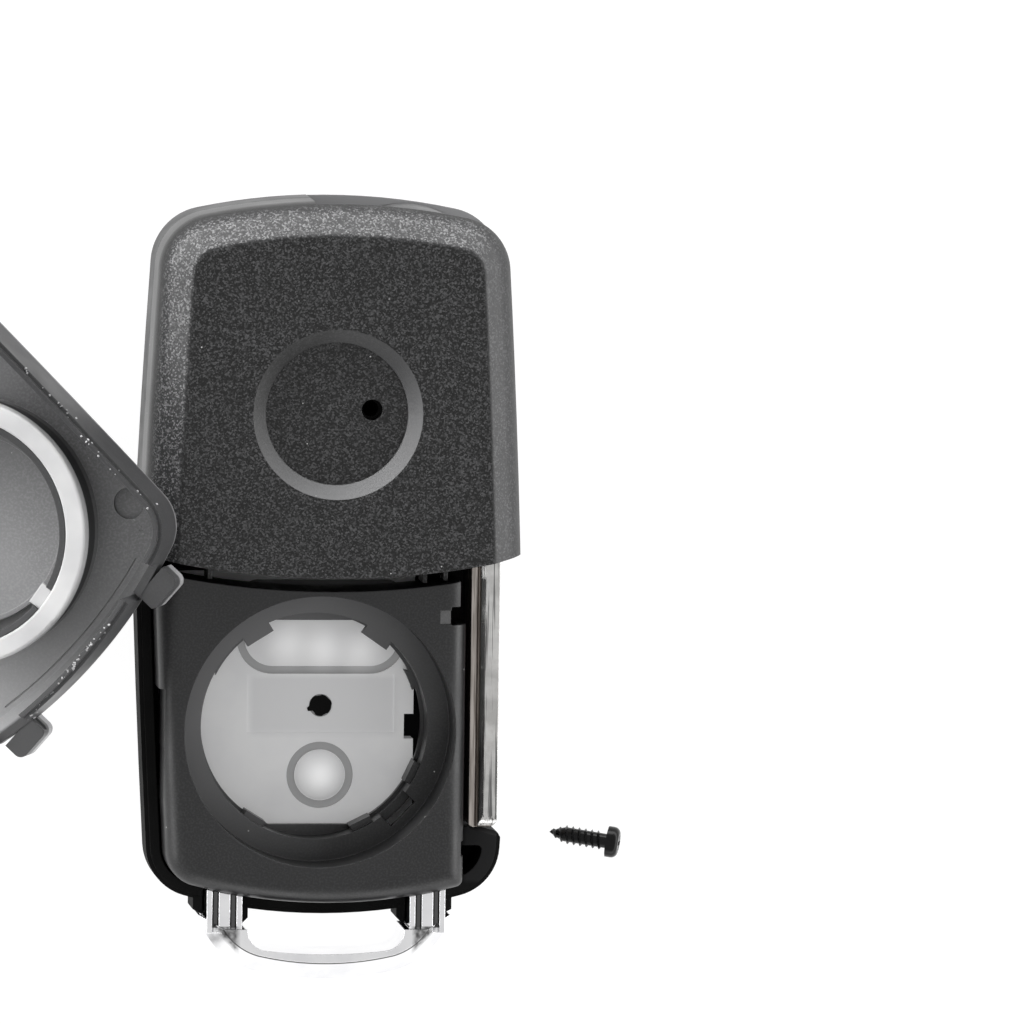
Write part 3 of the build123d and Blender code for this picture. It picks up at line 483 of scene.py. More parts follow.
@dataclass(frozen=True)
class SparkFinish(Finish):
    """Spark-eroded plastic with a painted sheen on its steep bevels and painted glints on their
    grains.

    The real grains are about 0.05 mm, too fine to show, and are drawn three times as coarse.
    """

    seat: Point = (0.05, 17.0, 16.0)
    seat_radius: float = 8.3
    seat_soft: float = 0.3
    chamfer_soft: float = 0.2
    face_grain_mm: float = 0.14
    face_span: Span = (0.2, 1.0)
    bevel_grain_mm: float = 0.15
    bevel_span: Span = (0.35, 0.95)
    # Heights of the unit normal: faces that lie flat, slopes, and walls too steep to be one
    flat_span: Span = (0.9, 0.98)
    slope_span: Span = (0.97, 0.80)
    wall_span: Span = (0.35, 0.62)
    # How far a slope faces the brightest wall of the tent, where its painted sheen and glints are
    # strongest
    lit_span: Span = (-0.3, 0.5)
    unlit_share: float = 0.25
    # Reach of the painted highlight to either side of the chamfer's lower right
    highlight_reach: float = 9.0
    # Colours: grain points on flat faces, the painted highlight on the seat's chamfer, and the
    # painted sheen and painted glints of the bevels
    point: str = "#4c4c4d"
    pale: str = "#5c5c5d"
    slope: str = "#2c2c2d"
    sparkle: str = "#7e7e7f"

    def paint(self, on: Canvas) -> Socket:
        """Colour with a random tone for each grain, a painted sheen and painted glints on the
        bevels, and a painted highlight on the seat's chamfer.

        Args:
            on: The material's canvas.

        Returns:
            The colour.
        """
        colour = super().paint(on)
        way = on.add(Kind.AXES, {0: on.add(Kind.GEOMETRY)}).node.outputs
        low, high = self.flat_span
        level = on.add(Kind.RANGE, {0: way["Z"], 1: low, 2: high, 3: self.unlit_share})
        tones = self.grains(on, self.face_grain_mm, self.face_span)
        colour = on.tint(colour, self.point, tones, level)
        spans = (self.slope_span, self.wall_span)
        slopes = on.meet(*(on.add(Kind.RANGE, {0: way["Z"], 1: a, 2: b}) for a, b in spans))
        away = on.far_from(self.seat)
        beyond = {0: away, 1: self.seat_radius, 2: self.seat_radius + self.seat_soft}
        # Painted sheen and glints on the bevels, brighter where they face the tent's brightest wall
        facing = on.add(Kind.MATH, {0: way["Y"], 1: way["X"]}, operation="SUBTRACT")
        low, high = self.lit_span
        lit = on.add(Kind.RANGE, {0: facing, 1: low, 2: high, 3: self.unlit_share})
        points = self.grains(on, self.bevel_grain_mm, self.bevel_span)
        bevel = on.tint(self.slope, self.sparkle, points, lit)
        colour = on.tint(colour, bevel, slopes, on.add(Kind.RANGE, beyond))
        # Painted highlight on the lower right of the seat's chamfer
        return on.tint(colour, self.pale, slopes, self.painted_highlight(on, away))

    def painted_highlight(self, on: Canvas, away: Socket) -> Socket:
        """Share of the painted highlight on the seat's chamfer, all of it at the lower right.

        Args:
            on: The material's canvas.
            away: Distance from the seat's middle.

        Returns:
            The share.
        """
        inside = {0: away, 1: self.seat_radius + self.chamfer_soft, 2: self.seat_radius}
        axes = on.add(Kind.AXES, {0: on.place}).node.outputs
        side = on.add(Kind.MATH, {0: axes["X"], 1: axes["Y"]}, operation="SUBTRACT")
        middle, reach = (self.seat[0] - self.seat[1]) * MM, self.highlight_reach * MM
        turned = {0: side, 1: middle - reach, 2: middle + reach}
        return on.meet(on.add(Kind.RANGE, inside), on.add(Kind.RANGE, turned))

    def grains(self, on: Canvas, size_mm: float, span: Span) -> Socket:
        """A random value for each grain of the texture, mostly low.

        Args:
            on: The material's canvas.
            size_mm: Size of a grain.
            span: Values of a grain that give 0 and 1.

        Returns:
            The pattern, 0 to 1.
        """
        cell = on.add(Kind.CELLS, {"Vector": on.place, "Scale": 1.0 / (size_mm * MM)}, "Color")
        raw = on.add(Kind.CHANNELS, {0: cell})
        value = on.add(Kind.RANGE, {0: raw, 1: span[0], 2: span[1]})
        return on.meet(value, value)


@dataclass(frozen=True)
class RimFinish(Finish):
    """Front shell plastic: the head's outer walls are spark-eroded, glossier, and given a painted
    grey sheen.
    """

    middle: Point = (0.0, 17.0, 0.0)
    # Where the head begins
    border_y: float = 1.5
    border_soft: float = 1.0
    # How far out a wall stands from the middle, in the direction that it faces
    outward_span: Span = (3.0, 6.0)
    # Painted grey sheen on the head's outer walls
    outer: str = "#303031"
    outer_roughness: float = 0.4

    def outside(self, on: Canvas) -> Socket:
        """Mask of the head's outer walls, which face away from its middle.

        Args:
            on: The material's canvas.

        Returns:
            The mask.
        """
        way = on.add(Kind.GEOMETRY, output="True Normal")
        start = tuple(value * MM for value in self.middle)
        away = on.add(Kind.VECTOR, {0: on.place, 1: start}, operation="SUBTRACT")
        flat = on.add(Kind.VECTOR, {0: away, 1: (1.0, 1.0, 0.0)}, operation="MULTIPLY")
        facing = on.add(Kind.VECTOR, {0: way, 1: flat}, "Value", operation="DOT_PRODUCT")
        low, high = self.outward_span
        outwards = on.add(Kind.RANGE, {0: facing, 1: low * MM, 2: high * MM})
        height = on.add(Kind.AXES, {0: on.place}, "Y")
        low, high = self.border_y, self.border_y + self.border_soft
        return on.meet(outwards, on.add(Kind.RANGE, {0: height, 1: low * MM, 2: high * MM}))

    def paint(self, on: Canvas) -> Socket:
        """Deep black, with a painted grey sheen on the head's outer walls."""
        return on.tint(super().paint(on), self.outer, self.outside(on))

    def gloss(self, on: Canvas) -> Socket:
        """Dull inside, glossier on the textured walls."""
        gain = on.meet(self.outside(on), self.outer_roughness - self.roughness)
        return on.add(Kind.MATH, {0: super().gloss(on), 1: gain}, operation="ADD")


@dataclass(frozen=True)
class LedgeFinish(Finish):
    """Frame plastic with a painted highlight on its seal ledge, towards the ledge's upper left."""

    centre: Point = (-1.05, -13.6, 8.2)
    ledge_mm: float = 13.02
    ledge_soft: float = 0.15
    ledge_top: float = 8.5
    top_soft: float = 0.1
    # From none of the painted highlight to all of it, towards the upper left of the ledge's middle
    highlight_span: Span = (-14.0, 12.0)
    # Colour of the painted highlight on the ledge
    painted_highlight: str = "#6c6c6d"

    def paint(self, on: Canvas) -> Socket:
        """The frame's colour, with a painted highlight on the ledge towards its upper left.

        Args:
            on: The material's canvas.

        Returns:
            The colour.
        """
        colour = super().paint(on)
        away = on.far_from(self.centre)
        inside = {0: away, 1: self.ledge_mm, 2: self.ledge_mm - self.ledge_soft}
        axes = on.add(Kind.AXES, {0: on.place}).node.outputs
        top = self.ledge_top
        low = {0: axes["Z"], 1: top * MM, 2: (top - self.top_soft) * MM}
        side = on.add(Kind.MATH, {0: axes["Y"], 1: axes["X"]}, operation="SUBTRACT")
        start, end = (self.centre[1] - self.centre[0] + at for at in self.highlight_span)
        lit_side = {0: side, 1: start * MM, 2: end * MM}
        masks = (on.add(Kind.RANGE, inputs) for inputs in (inside, low, lit_side))
        return on.tint(colour, self.painted_highlight, *masks)


@dataclass(frozen=True)
class MatFinish(Finish):
    """Milky silicone with a painted glow in its window, brightest over the domes."""

    emission: float = 1.0
    # Level of the painted glow over the whole window
    glow_level: float = 0.10
    window: Point = (-1.05, -13.6, 0.0)
    window_radius: float = 10.9
    window_soft: float = 0.6
    # Each painted glow: its middle, its radius and the level of light there
    glows: tuple[tuple[float, float, float, float], ...] = ()

    def light(self, on: Canvas) -> Socket:
        """Painted glow of the mat: even in the window, brighter at each glow, none outside.

        Args:
            on: The material's canvas.

        Returns:
            The light's colour.
        """
        light = grey(self.glow_level)
        for x, y, radius, level in self.glows:
            fade = {0: on.far_from((x, y, 0.0)), 1: 0.0, 2: radius, 3: 1.0, 4: 0.0}
            share = on.add(Kind.RANGE, fade, interpolation_type="SMOOTHSTEP")
            light = on.tint(light, grey(level), share)
        edge, border = self.window_radius, self.window_radius + self.window_soft
        outside = on.add(Kind.RANGE, {0: on.far_from(self.window), 1: edge, 2: border})
        return on.tint(light, grey(0.0), outside)


@dataclass(frozen=True)
class CoverFinish(Finish):
    """Cover plastic: painted light on the inner face of its plate, darker on the skirts that stand
    up.
    """

    # A point of the plate's outer face, and the way up from it: the cover leans on the case
    foot: Point = (-33.43, 5.71, 7.92)
    up: Point = (-0.3746, 0.0, 0.9272)
    plate_top: float = 2.9
    plate_soft: float = 0.3
    # Colour of the painted light towards the cover's foot
    pale: str = "#c2c2c3"
    pale_span: Span = (-12.0, 18.0)
    pale_share: float = 0.7
    skirt: str = "#29292a"
    skirt_share: float = 0.85

    def paint(self, on: Canvas) -> Socket:
        """The plate's colour, with painted light towards its foot, and darker above it.

        Args:
            on: The material's canvas.

        Returns:
            The colour.
        """
        along = on.add(Kind.AXES, {0: on.place}, "Y")
        low, high = self.pale_span
        fade = {0: along, 1: low * MM, 2: high * MM, 3: self.pale_share, 4: 0.0}
        colour = on.tint(super().paint(on), self.pale, on.add(Kind.RANGE, fade))
        start = tuple(value * MM for value in self.foot)
        away = on.add(Kind.VECTOR, {0: on.place, 1: start}, operation="SUBTRACT")
        rise = on.add(Kind.VECTOR, {0: away, 1: self.up}, "Value", operation="DOT_PRODUCT")
        low, high = self.plate_top - self.plate_soft, self.plate_top
        above = {0: rise, 1: low * MM, 2: high * MM, 4: self.skirt_share}
        return on.tint(colour, self.skirt, on.add(Kind.RANGE, above))


@dataclass(frozen=True)
class LoopFinish(Finish):
    """Chrome with two dark, pitted places where the casting seam was filed beside the posts."""

    # The triangle's borders, to either side of the key's middle
    seam_outer: float = 10.85
    seam_inner: float = 8.2
    seam_side: float = 0.5
    seam_top: float = -32.6
    seam_edge: float = 0.1
    seam_slope: float = 1.06
    seam_span: Span = (-0.2, 0.4)
    pit_mm: float = 0.5
    pit_detail: float = 3.0
    pit_span: Span = (0.3, 0.7)
    pit_ends: Span = (0.5, 1.0)
    pitted: str = "#565656"

    def paint(self, on: Canvas) -> Socket:
        """The chrome's colour, pitted dark in a triangle below each post.

        Args:
            on: The material's canvas.

        Returns:
            The colour.
        """
        axes = on.add(Kind.AXES, {0: on.place}).node.outputs
        across = on.add(Kind.MATH, {0: axes["X"]}, operation="ABSOLUTE")
        outer, top = self.seam_outer * MM, self.seam_top * MM
        inwards = on.add(Kind.MATH, {0: outer, 1: across}, operation="SUBTRACT")
        depth = on.meet(inwards, self.seam_slope)
        low = on.add(Kind.MATH, {0: axes["Y"], 1: depth}, operation="ADD")
        reach = on.add(Kind.MATH, {0: low, 1: -top}, operation="ADD")
        start, end = (at * MM for at in self.seam_span)
        inner, side = self.seam_inner * MM, self.seam_side * MM
        sides = (
            {0: reach, 1: start, 2: end},
            {0: across, 1: inner, 2: inner + side},
            {0: inwards, 1: 0.0, 2: side},
            {0: axes["Y"], 1: top + self.seam_edge * MM, 2: top},
        )
        masks = [on.add(Kind.RANGE, inputs) for inputs in sides]
        pits = on.cloud(on.place, self.pit_mm, self.pit_detail, self.pit_span, self.pit_ends)
        return on.tint(super().paint(on), self.pitted, *masks, pits)


@dataclass(frozen=True)
class Streaks:
    """Fine lines along the blade, with sizes in millimetres."""

    turn_deg: float
    wide: float
    long: float
    span: Span
    share: float
    detail: float = 3.0

    def draw(self, on: Canvas) -> Socket:
        """The lines as a pattern.

        Args:
            on: The material's canvas.

        Returns:
            The pattern, 0 to the lines' share.
        """
        turn = (0.0, 0.0, math.radians(self.turn_deg))
        size = (1.0, self.wide / self.long, 1.0)
        lay = on.add(Kind.MAPPING, {"Vector": on.place, "Rotation": turn, "Scale": size})
        return on.cloud(lay, self.wide * 2, self.detail, self.span, (0.0, self.share))


@dataclass(frozen=True)
class BladeFinish(Finish):
    """Nickel-plated steel: bright scratched lands and duller brushed rebates, whose darker tone is
    partly painted shade.

    Real scratches and brush lines are a few hundredths of a millimetre wide, too fine to show,
    and are drawn about a tenth of a millimetre wide.
    """

    # The blade stands on edge: its middle, and how far above and below it the lands begin
    middle_z: float = 8.0
    land: float = 3.7
    land_soft: float = 0.3
    # Rebate colours: brushed, and darker partly as painted shade
    rebate: str = "#bdb6b0"
    rebate_dark: str = "#857e78"
    rebate_gain: float = 0.14
    brush: Streaks = Streaks(0.0, 0.08, 2.4, (0.40, 0.64), 1.0)
    scratches: Streaks = Streaks(4.0, 0.1, 5.0, (0.52, 0.62), 0.85)
    scratch: str = "#4f4f4f"

    def paint(self, on: Canvas) -> Socket:
        """Bright lands with slanting scratches, and brushed beige-grey rebates, darker partly as
        painted shade.

        Args:
            on: The material's canvas.

        Returns:
            The colour.
        """
        bright = on.tint(super().paint(on), self.scratch, self.scratches.draw(on))
        brushed = on.tint(self.rebate, self.rebate_dark, self.brush.draw(on))
        return on.tint(bright, brushed, self.sunk(on))

    def gloss(self, on: Canvas) -> Socket:
        """Buffed lands, duller in the rebates."""
        gain = on.meet(self.sunk(on), self.rebate_gain)
        return on.add(Kind.MATH, {0: super().gloss(on), 1: gain}, operation="ADD")

    def sunk(self, on: Canvas) -> Socket:
        """Mask of the rebates, by height from the blade's middle.

        Args:
            on: The material's canvas.

        Returns:
            The mask.
        """
        height = on.add(Kind.AXES, {0: on.place}, "Z")
        above = {0: height, 1: self.middle_z * MM}
        side = on.add(Kind.MATH, above, operation="SUBTRACT")
        away = on.add(Kind.MATH, {0: side}, operation="ABSOLUTE")
        low, high = self.land - self.land_soft, self.land
        return on.add(Kind.RANGE, {0: away, 1: high * MM, 2: low * MM})


# Moulded ABS from a spark-eroded mould: dull black with pale grain points, a painted sheen and
# painted glints on its bevels, and a painted highlight on the emblem seat's chamfer
SHELL = SparkFinish(
    "abs_spark_black", Surface.SPARK, "#030303", "#080808", 0.33, specular=0.42,
    grain_mm=0.22, grain_depth=0.014, dust=0.9, smudge=0.02, edge_mm=0.1,
)
# Front shell ABS: deep black inside and on the rim, with a painted grey sheen on the head's outer
# walls and painted highlights on the ledge along its top and on the hook
RIM = RimFinish(
    "abs_rim_black", Surface.POLISHED, "#060606", "#090909", 0.72, specular=0.16,
    grain_mm=0.3, grain_depth=0.006, edge_mm=0.12,
    patches=(
        # Painted highlight on the ledge along the head's top, which the head cover shades
        Patch((-2.6, 33.0, 2.9), (FAR, FAR, 3.3), "#8c8c8d", 0.1),
        # Painted highlight on the hook's top
        Patch((13.6, -28.6, 7.9), (FAR, -23.0, FAR), "#222223", 0.4),
    ),
)
# Frame ABS: satin dark grey, with a painted highlight on the seal ledge and painted shade in its
# crevices. Its grain is drawn coarse enough to show
FRAME = LedgeFinish(
    "abs_frame_satin", Surface.POLISHED, "#121213", "#171718", 0.38, grain_mm=0.2,
    grain_depth=0.006, grain_colour="#232324", dust=0.8, edge_mm=0.16, crevice_mm=0.8,
)
# Inner faces of the taken-off cover: greyer, scuffed and dusty, with pale edges that are part wear
# and part painted highlight, painted light towards its foot and painted shade in its crevices
INNER = CoverFinish(
    "abs_inner_grey", Surface.POLISHED, "#5e5e5f", "#7e7e7f", 0.4, specular=0.3,
    grain_mm=0.22, grain_depth=0.004, grain_colour="#7c7c7d", patch_mm=24.0, scuff=0.1,
    dust=0.8, dust_mm=0.07, edge_mm=0.16, edge_colour="#b4b4b5", crevice_mm=1.6,
)
# Milky silicone mat: pale and soft, with painted shade in the thin grooves and a painted glow over
# the domes
SILICONE = MatFinish(
    "silicone_milky", Surface.SILICONE, "#f0f0f0", "#e8e8e9", 0.5, ior=1.41, specular=0.35,
    patch_mm=5.0, grain_mm=0.9, grain_depth=0.01, subsurface=0.1,
    patches=(
        Patch((-6.8, -14.9, -FAR), (7.4, -9.2, FAR), "#e0e0e1", 0.8),
        # Painted shade in the grooves and below the mat's top
        Patch((-FAR, -FAR, -FAR), (FAR, FAR, 3.7), "#929293", 0.15),
    ),
    # Painted glows over the domes
    glows=(
        (0.0, -18.8, 2.6, 0.36), (-3.2, -6.3, 2.9, 0.27),
        (0.2, -6.6, 2.9, 0.30), (3.7, -6.8, 2.9, 0.27),
    ),
)
# Seal silicone: nearly white and matt
SEAL = Finish(
    "silicone_seal", Surface.SILICONE, "#d0d0d0", "#bfbfc0", 0.55, ior=1.41, specular=0.3,
    patch_mm=6.0, subsurface=0.15, edge_mm=0.2,
)
# Carbon-filled contact: flat black with a rough face
PILL = Finish(
    "carbon_pill", Surface.SPARK, "#070707", "#0b0b0b", 0.8, specular=0.2, grain_mm=0.3,
    grain_depth=0.03,
)
# Chrome plate on cast zinc: mirror-bright, faintly rippled
CHROME = Finish(
    "chrome_plate", Surface.PLATED, "#fafafb", "#f0f0f2", 0.06, metallic=1.0, smudge=0.03,
    patch_mm=3.0, grain_mm=1.6, grain_depth=0.004, edge_mm=0.12,
)
# The loop's chrome: a painted dark reflection in the flutes of its posts, and dark where the
# casting seam was filed
LOOP = LoopFinish(
    "chrome_loop", Surface.PLATED, "#fafafb", "#f0f0f2", 0.06, metallic=1.0, smudge=0.03,
    patch_mm=3.0, grain_mm=1.6, grain_depth=0.004, edge_mm=0.12,
    patches=(
        # Painted dark reflection in the flutes of the posts
        Patch((-FAR, -32.7, 10.4), (FAR, FAR, 10.93), "#5c5c5c", 0.06),
        Patch((-FAR, -FAR, 11.24), (FAR, -32.8, 11.37), "#5a5a5a", 0.04),
    ),
)
# Nickel-plated blade: buffed lands, brushed rebates darkened partly by painted shade
STEEL = BladeFinish(
    "blade_nickel", Surface.DRAWN, "#d8d7d5", "#bcbbb9", 0.2, metallic=1.0, patch_mm=2.2,
    grain_mm=0.2, grain_depth=0.003, stretch=(1.0, 0.1, 1.0), edge_mm=0.12,
)
# Drawn spring steel: grey with lines along the wire
SPRING = Finish(
    "spring_steel", Surface.DRAWN, "#8d8d8e", "#767677", 0.30, metallic=1.0, grain_mm=0.2,
    grain_depth=0.004,
)
# Glass-filled nylon: dark grey with pale fibre flecks, drawn coarser than the real fibres
NYLON = Finish(
    "nylon_glass_filled", Surface.SPARK, "#1d1d1e", "#262627", 0.42, grain_mm=0.24,
    grain_depth=0.012, grain_colour="#4a4a4b", edge_mm=0.12,
)
# Black oxide on steel: oily black with bright edges, part wear and part painted glint
OXIDE = Finish(
    "black_oxide_steel", Surface.DRAWN, "#020202", "#050505", 0.17, specular=0.22,
    patch_mm=0.9, grain_mm=0.2, grain_depth=0.003, wear_and_glint="#262626",
)
# Flash torn from the cover's edges: thin, pale where it bent
BURR = Finish("abs_flash_pale", Surface.POLISHED, "#c4c4c5", "#7a7a7b", 0.3, patch_mm=1.0)
# Metallised plastic: soft silver
SILVER = Finish(
    "metallised_button", Surface.PLATED, "#b4b4b7", "#a6a6a9", 0.2, metallic=1.0,
    grain_mm=1.2, grain_depth=0.003, edge_mm=0.1,
)


@dataclass
class Studio:
    """Pale floor, a light tent round the key and the camera of the photograph."""

    # The point in the middle of the picture, and the camera's roll as a slope
    aim_mm: Point = (17.72, 6.98, 8.0)
    roll: float = 0.0142
    pixels_per_mm: float = 10.46
    frame_pixels: int = 1024
    distance: float = 1.5
    sensor_mm: float = 36.0
    clip: Span = (0.05, 20.0)
    floor_size: float = 6.0
    floor_z_mm: float = -0.02
    floor_colour: str = "#f2f2f2"
    floor_white: float = 1.12
    floor_share: float = 0.85
    overhead: float = 0.9
    band: Span = (0.28, 0.46)
    # The tent's wall: share of a turn from the left by way of below, and the brightness there
    wall: tuple[Span, ...] = (
        (0.0, 5.5), (0.125, 0.5), (0.25, 3.0), (0.375, 2.4), (0.5, 5.0),
        (0.625, 4.6), (0.75, 6.6), (0.875, 9.5), (1.0, 5.5),
    )

    def build(self) -> None:
        """Makes the camera, the floor and the world."""
        self.camera()
        self.floor()
        self.world()
        bpy.context.scene.view_settings.view_transform = "Standard"

    def camera(self) -> None:
        """Camera on the line that the photograph was taken along, with its roll."""
        view = Vector(SIGHT).normalized()
        right = view.cross(Vector((-self.roll, 1.0, 0.0))).normalized()
        turn = Matrix((right, right.cross(view), -view)).transposed().to_4x4()
        spot = Vector(self.aim_mm) * MM - view * self.distance
        lens = bpy.data.cameras.new("photo_camera")
        lens.sensor_width = self.sensor_mm
        width = self.frame_pixels / self.pixels_per_mm * MM
        lens.lens = self.sensor_mm * self.distance / width
        lens.clip_start, lens.clip_end = self.clip
        made = bpy.data.objects.new("photo_camera", lens)
        made.matrix_world = Matrix.Translation(spot) @ turn
        bpy.context.scene.collection.objects.link(made)
        bpy.context.scene.camera = made

    def floor(self) -> None:
        """Floor that stays white for the camera and keeps a soft shadow."""
        Bench.clear()
        spot = (0, 0, self.floor_z_mm * MM)
        bpy.ops.mesh.primitive_plane_add(size=self.floor_size, location=spot)
        made = bpy.context.object
        made.name = "floor"
        paint = bpy.data.materials.new("floor_white")
        paint.use_nodes = True
        tree = paint.node_tree
        tree.nodes.remove(tree.nodes["Principled BSDF"])
        on = Canvas(tree)
        rays = on.add(Kind.RAYS).node.outputs
        seen = rays["Is Camera Ray"]
        for name in ("Is Glossy Ray", "Is Transmission Ray"):
            seen = on.add(Kind.MATH, {0: seen, 1: rays[name]}, operation="MAXIMUM")
        share = on.meet(seen, self.floor_share)
        matt = on.add(Kind.MATT, {"Color": self.floor_colour})
        glow = on.add(Kind.GLOW, {"Color": grey(1.0), "Strength": self.floor_white})
        both = on.add(Kind.EITHER, {0: share, 1: matt, 2: glow})
        tree.links.new(both, tree.nodes["Material Output"].inputs["Surface"])
        made.data.materials.append(paint)

    def world(self) -> None:
        """World of a light tent: an even roof and a wall that is brightest at the upper left."""
        made = bpy.data.worlds.new("light_tent")
        bpy.context.scene.world = made
        made.use_nodes = True
        tree = made.node_tree
        tree.nodes.remove(tree.nodes["Background"])
        on = Canvas(tree)
        way = on.add(Kind.AXES, {0: on.add(Kind.COORDINATES, output="Generated")}).node.outputs
        angle = on.add(Kind.MATH, {0: way["Y"], 1: way["X"]}, operation="ARCTAN2")
        turn = on.add(Kind.RANGE, {0: angle, 1: -math.pi, 2: math.pi})
        top = max(level for _, level in self.wall)
        ramp = on.add(Kind.RAMP, {0: turn})
        stops = ramp.node.color_ramp.elements
        for number, (place, level) in enumerate(self.wall):
            stop = stops[number] if number < 2 else stops.new(place)
            stop.position = place
            stop.color = grey(level / top)
        wall = on.meet(ramp, top)
        low, high = self.band
        rise = on.add(Kind.RANGE, {0: way["Z"], 1: low, 2: high})
        level = on.add(Kind.MIX, {0: rise, 2: wall, 3: self.overhead}, 0, data_type="FLOAT")
        tent = on.add(Kind.SKY, {"Strength": level})
        white = on.add(Kind.SKY, {"Strength": 1.0})
        both = on.add(Kind.EITHER, {0: on.add(Kind.RAYS), 1: tent, 2: white})
        tree.links.new(both, tree.nodes["World Output"].inputs["Surface"])


class Bench:
    """Work on one piece at a time, with everything else deselected."""

    @staticmethod
    def clear() -> None:
        """Deselects every object."""
        bpy.ops.object.select_all(action="DESELECT")

    @staticmethod
    def take(piece: Piece) -> None:
        """Selects one piece alone and makes it active.

        Args:
            piece: The piece.
        """
        Bench.clear()
        piece.select_set(True)
        bpy.context.view_layer.objects.active = piece

    @staticmethod
    def drop(name: str) -> Piece:
        """Names the active piece and moves its place into its mesh.

        Args:
            name: The piece's name.

        Returns:
            The piece.
        """
        piece = bpy.context.object
        piece.name = name
        piece.data.name = name
        bpy.ops.object.transform_apply(location=True, rotation=True, scale=True)
        return piece

    @staticmethod
    def rod(
        name: str, sides: int, radius: float, high: float, middle: Point, turn: Point = (0, 0, 0)
    ) -> Piece:
        """Adds the many-sided rod that a round piece starts from.

        Args:
            name: The piece's name.
            sides: Number of sides.
            radius: Radius in millimetres.
            high: Height in millimetres.
            middle: Its middle, in millimetres.
            turn: Its turn about X, Y and Z, in radians.

        Returns:
            The rod.
        """
        Bench.clear()
        bpy.ops.mesh.primitive_cylinder_add(
            vertices=sides,
            radius=radius * MM,
            depth=high * MM,
            location=Vector(middle) * MM,
            rotation=turn,
        )
        return Bench.drop(name)

    @staticmethod
    def join(parts: list[Piece]) -> Piece:
        """Joins several pieces to one.

        Args:
            parts: The pieces.

        Returns:
            The first of them, with all their meshes.
        """
        Bench.take(parts[0])
        for part in parts:
            part.select_set(True)
        bpy.ops.object.join()
        return bpy.context.object

    @staticmethod
    @contextmanager
    def editing() -> Iterator[None]:
        """Edit mode on the active piece for the length of a with block."""
        bpy.ops.object.mode_set(mode="EDIT")
        yield
        bpy.ops.object.mode_set(mode="OBJECT")

    @staticmethod
    def pick_faces(piece: Piece, keep: Callable[[bmesh.types.BMFace], bool]) -> None:
        """Selects faces in edit mode by a test.

        Args:
            piece: The piece, in edit mode.
            keep: Test of a face.
        """
        bpy.ops.mesh.select_mode(type="FACE")
        bpy.ops.mesh.select_all(action="DESELECT")
        mesh = bmesh.from_edit_mesh(piece.data)
        for face in mesh.faces:
            face.select = keep(face)
        mesh.select_flush_mode()
        bmesh.update_edit_mesh(piece.data)

    @staticmethod
    def pick_top(piece: Piece, way: int = 1) -> None:
        """Selects an upright piece's top face in edit mode, or with a way of -1 its foot."""
        Bench.pick_faces(piece, lambda face: face.normal.z * way > FACING)

    @staticmethod
    def pick_points(piece: Piece, keep: Callable[[Vector], bool]) -> None:
        """Selects vertices in edit mode by a test of their place.

        Args:
            piece: The piece, in edit mode.
            keep: Test of a place.
        """
        bpy.ops.mesh.select_mode(type="VERT")
        bpy.ops.mesh.select_all(action="DESELECT")
        mesh = bmesh.from_edit_mesh(piece.data)
        for point in mesh.verts:
            point.select = keep(point.co)
        mesh.select_flush_mode()
        bmesh.update_edit_mesh(piece.data)

    @staticmethod
    def face_outwards() -> None:
        """Turns all faces outwards, in edit mode."""
        bpy.ops.mesh.select_all(action="SELECT")
        bpy.ops.mesh.normals_make_consistent(inside=False)

    @staticmethod
    def apply(piece: Piece, kind: str, **settings: object) -> None:
        """Adds a modifier to a piece and applies it.

        Args:
            piece: The piece.
            kind: Modifier's type.
            settings: Its settings.
        """
        Bench.take(piece)
        modifier = piece.modifiers.new(kind.lower(), kind)
        for name, value in settings.items():
            setattr(modifier, name, value)
        bpy.ops.object.modifier_apply(modifier=modifier.name)


@dataclass
class Assembly:
    """A group of the key: the finish of each solid that it keeps, and pieces of its own."""

    nodes: ClassVar[dict[str, Finish]] = {}
    body: str = "case"
    palette: dict[str, Material] = field(default_factory=dict)
    smooth_deg: float = 30.0

    def build(self, frame: Frame) -> None:
        """Gives each of the group's solids its finish, then makes the group's own pieces.
        """
        for node, finish in self.nodes.items():
            self.coat(frame["nodes"][node], finish)
            LOG.info("dressed %s in %s", node, finish.name)
        self.model(frame)

    def model(self, frame: Frame) -> None:
        """Makes the group's own pieces: none, in a group that keeps every solid."""

    def coat(self, piece: Piece, finish: Finish) -> None:
        """Gives a piece a finish, whose material is made once for the whole key.

        Args:
            piece: The piece.
            finish: Its finish.
        """
        if finish.name not in self.palette:
            self.palette[finish.name] = finish.material()
        piece.data.materials.clear()
        piece.data.materials.append(self.palette[finish.name])

    def hand_over(self, piece: Piece, finish: Finish, slot: str, stands_for: str = "") -> None:
        """Finishes a new piece: smooth shading, material and body.

        Args:
            piece: The piece.
            finish: Its finish.
            slot: The record's material slot; not used.
            stands_for: Node that it replaces, if it does.
        """
        Bench.take(piece)
        bpy.ops.object.shade_smooth_by_angle(angle=math.radians(self.smooth_deg))
        self.coat(piece, finish)
        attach(piece, self.body)
        if stands_for:
            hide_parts(stands_for)
        LOG.info("made %s", piece.name)


@dataclass
class Case(Assembly):
    """Both shells of the case, the trim and buttons of its front face, and the spring."""

    nodes: ClassVar[dict[str, Finish]] = {
        "front_shell": RIM,
        "head_rear_cover": SHELL,
        "release_bezel": CHROME,
        "spring_washer": SPRING,
        "flip_spring": SPRING,
        "upper_button": SHELL,
        "middle_button": SHELL,
        "lower_button": SHELL,
    }


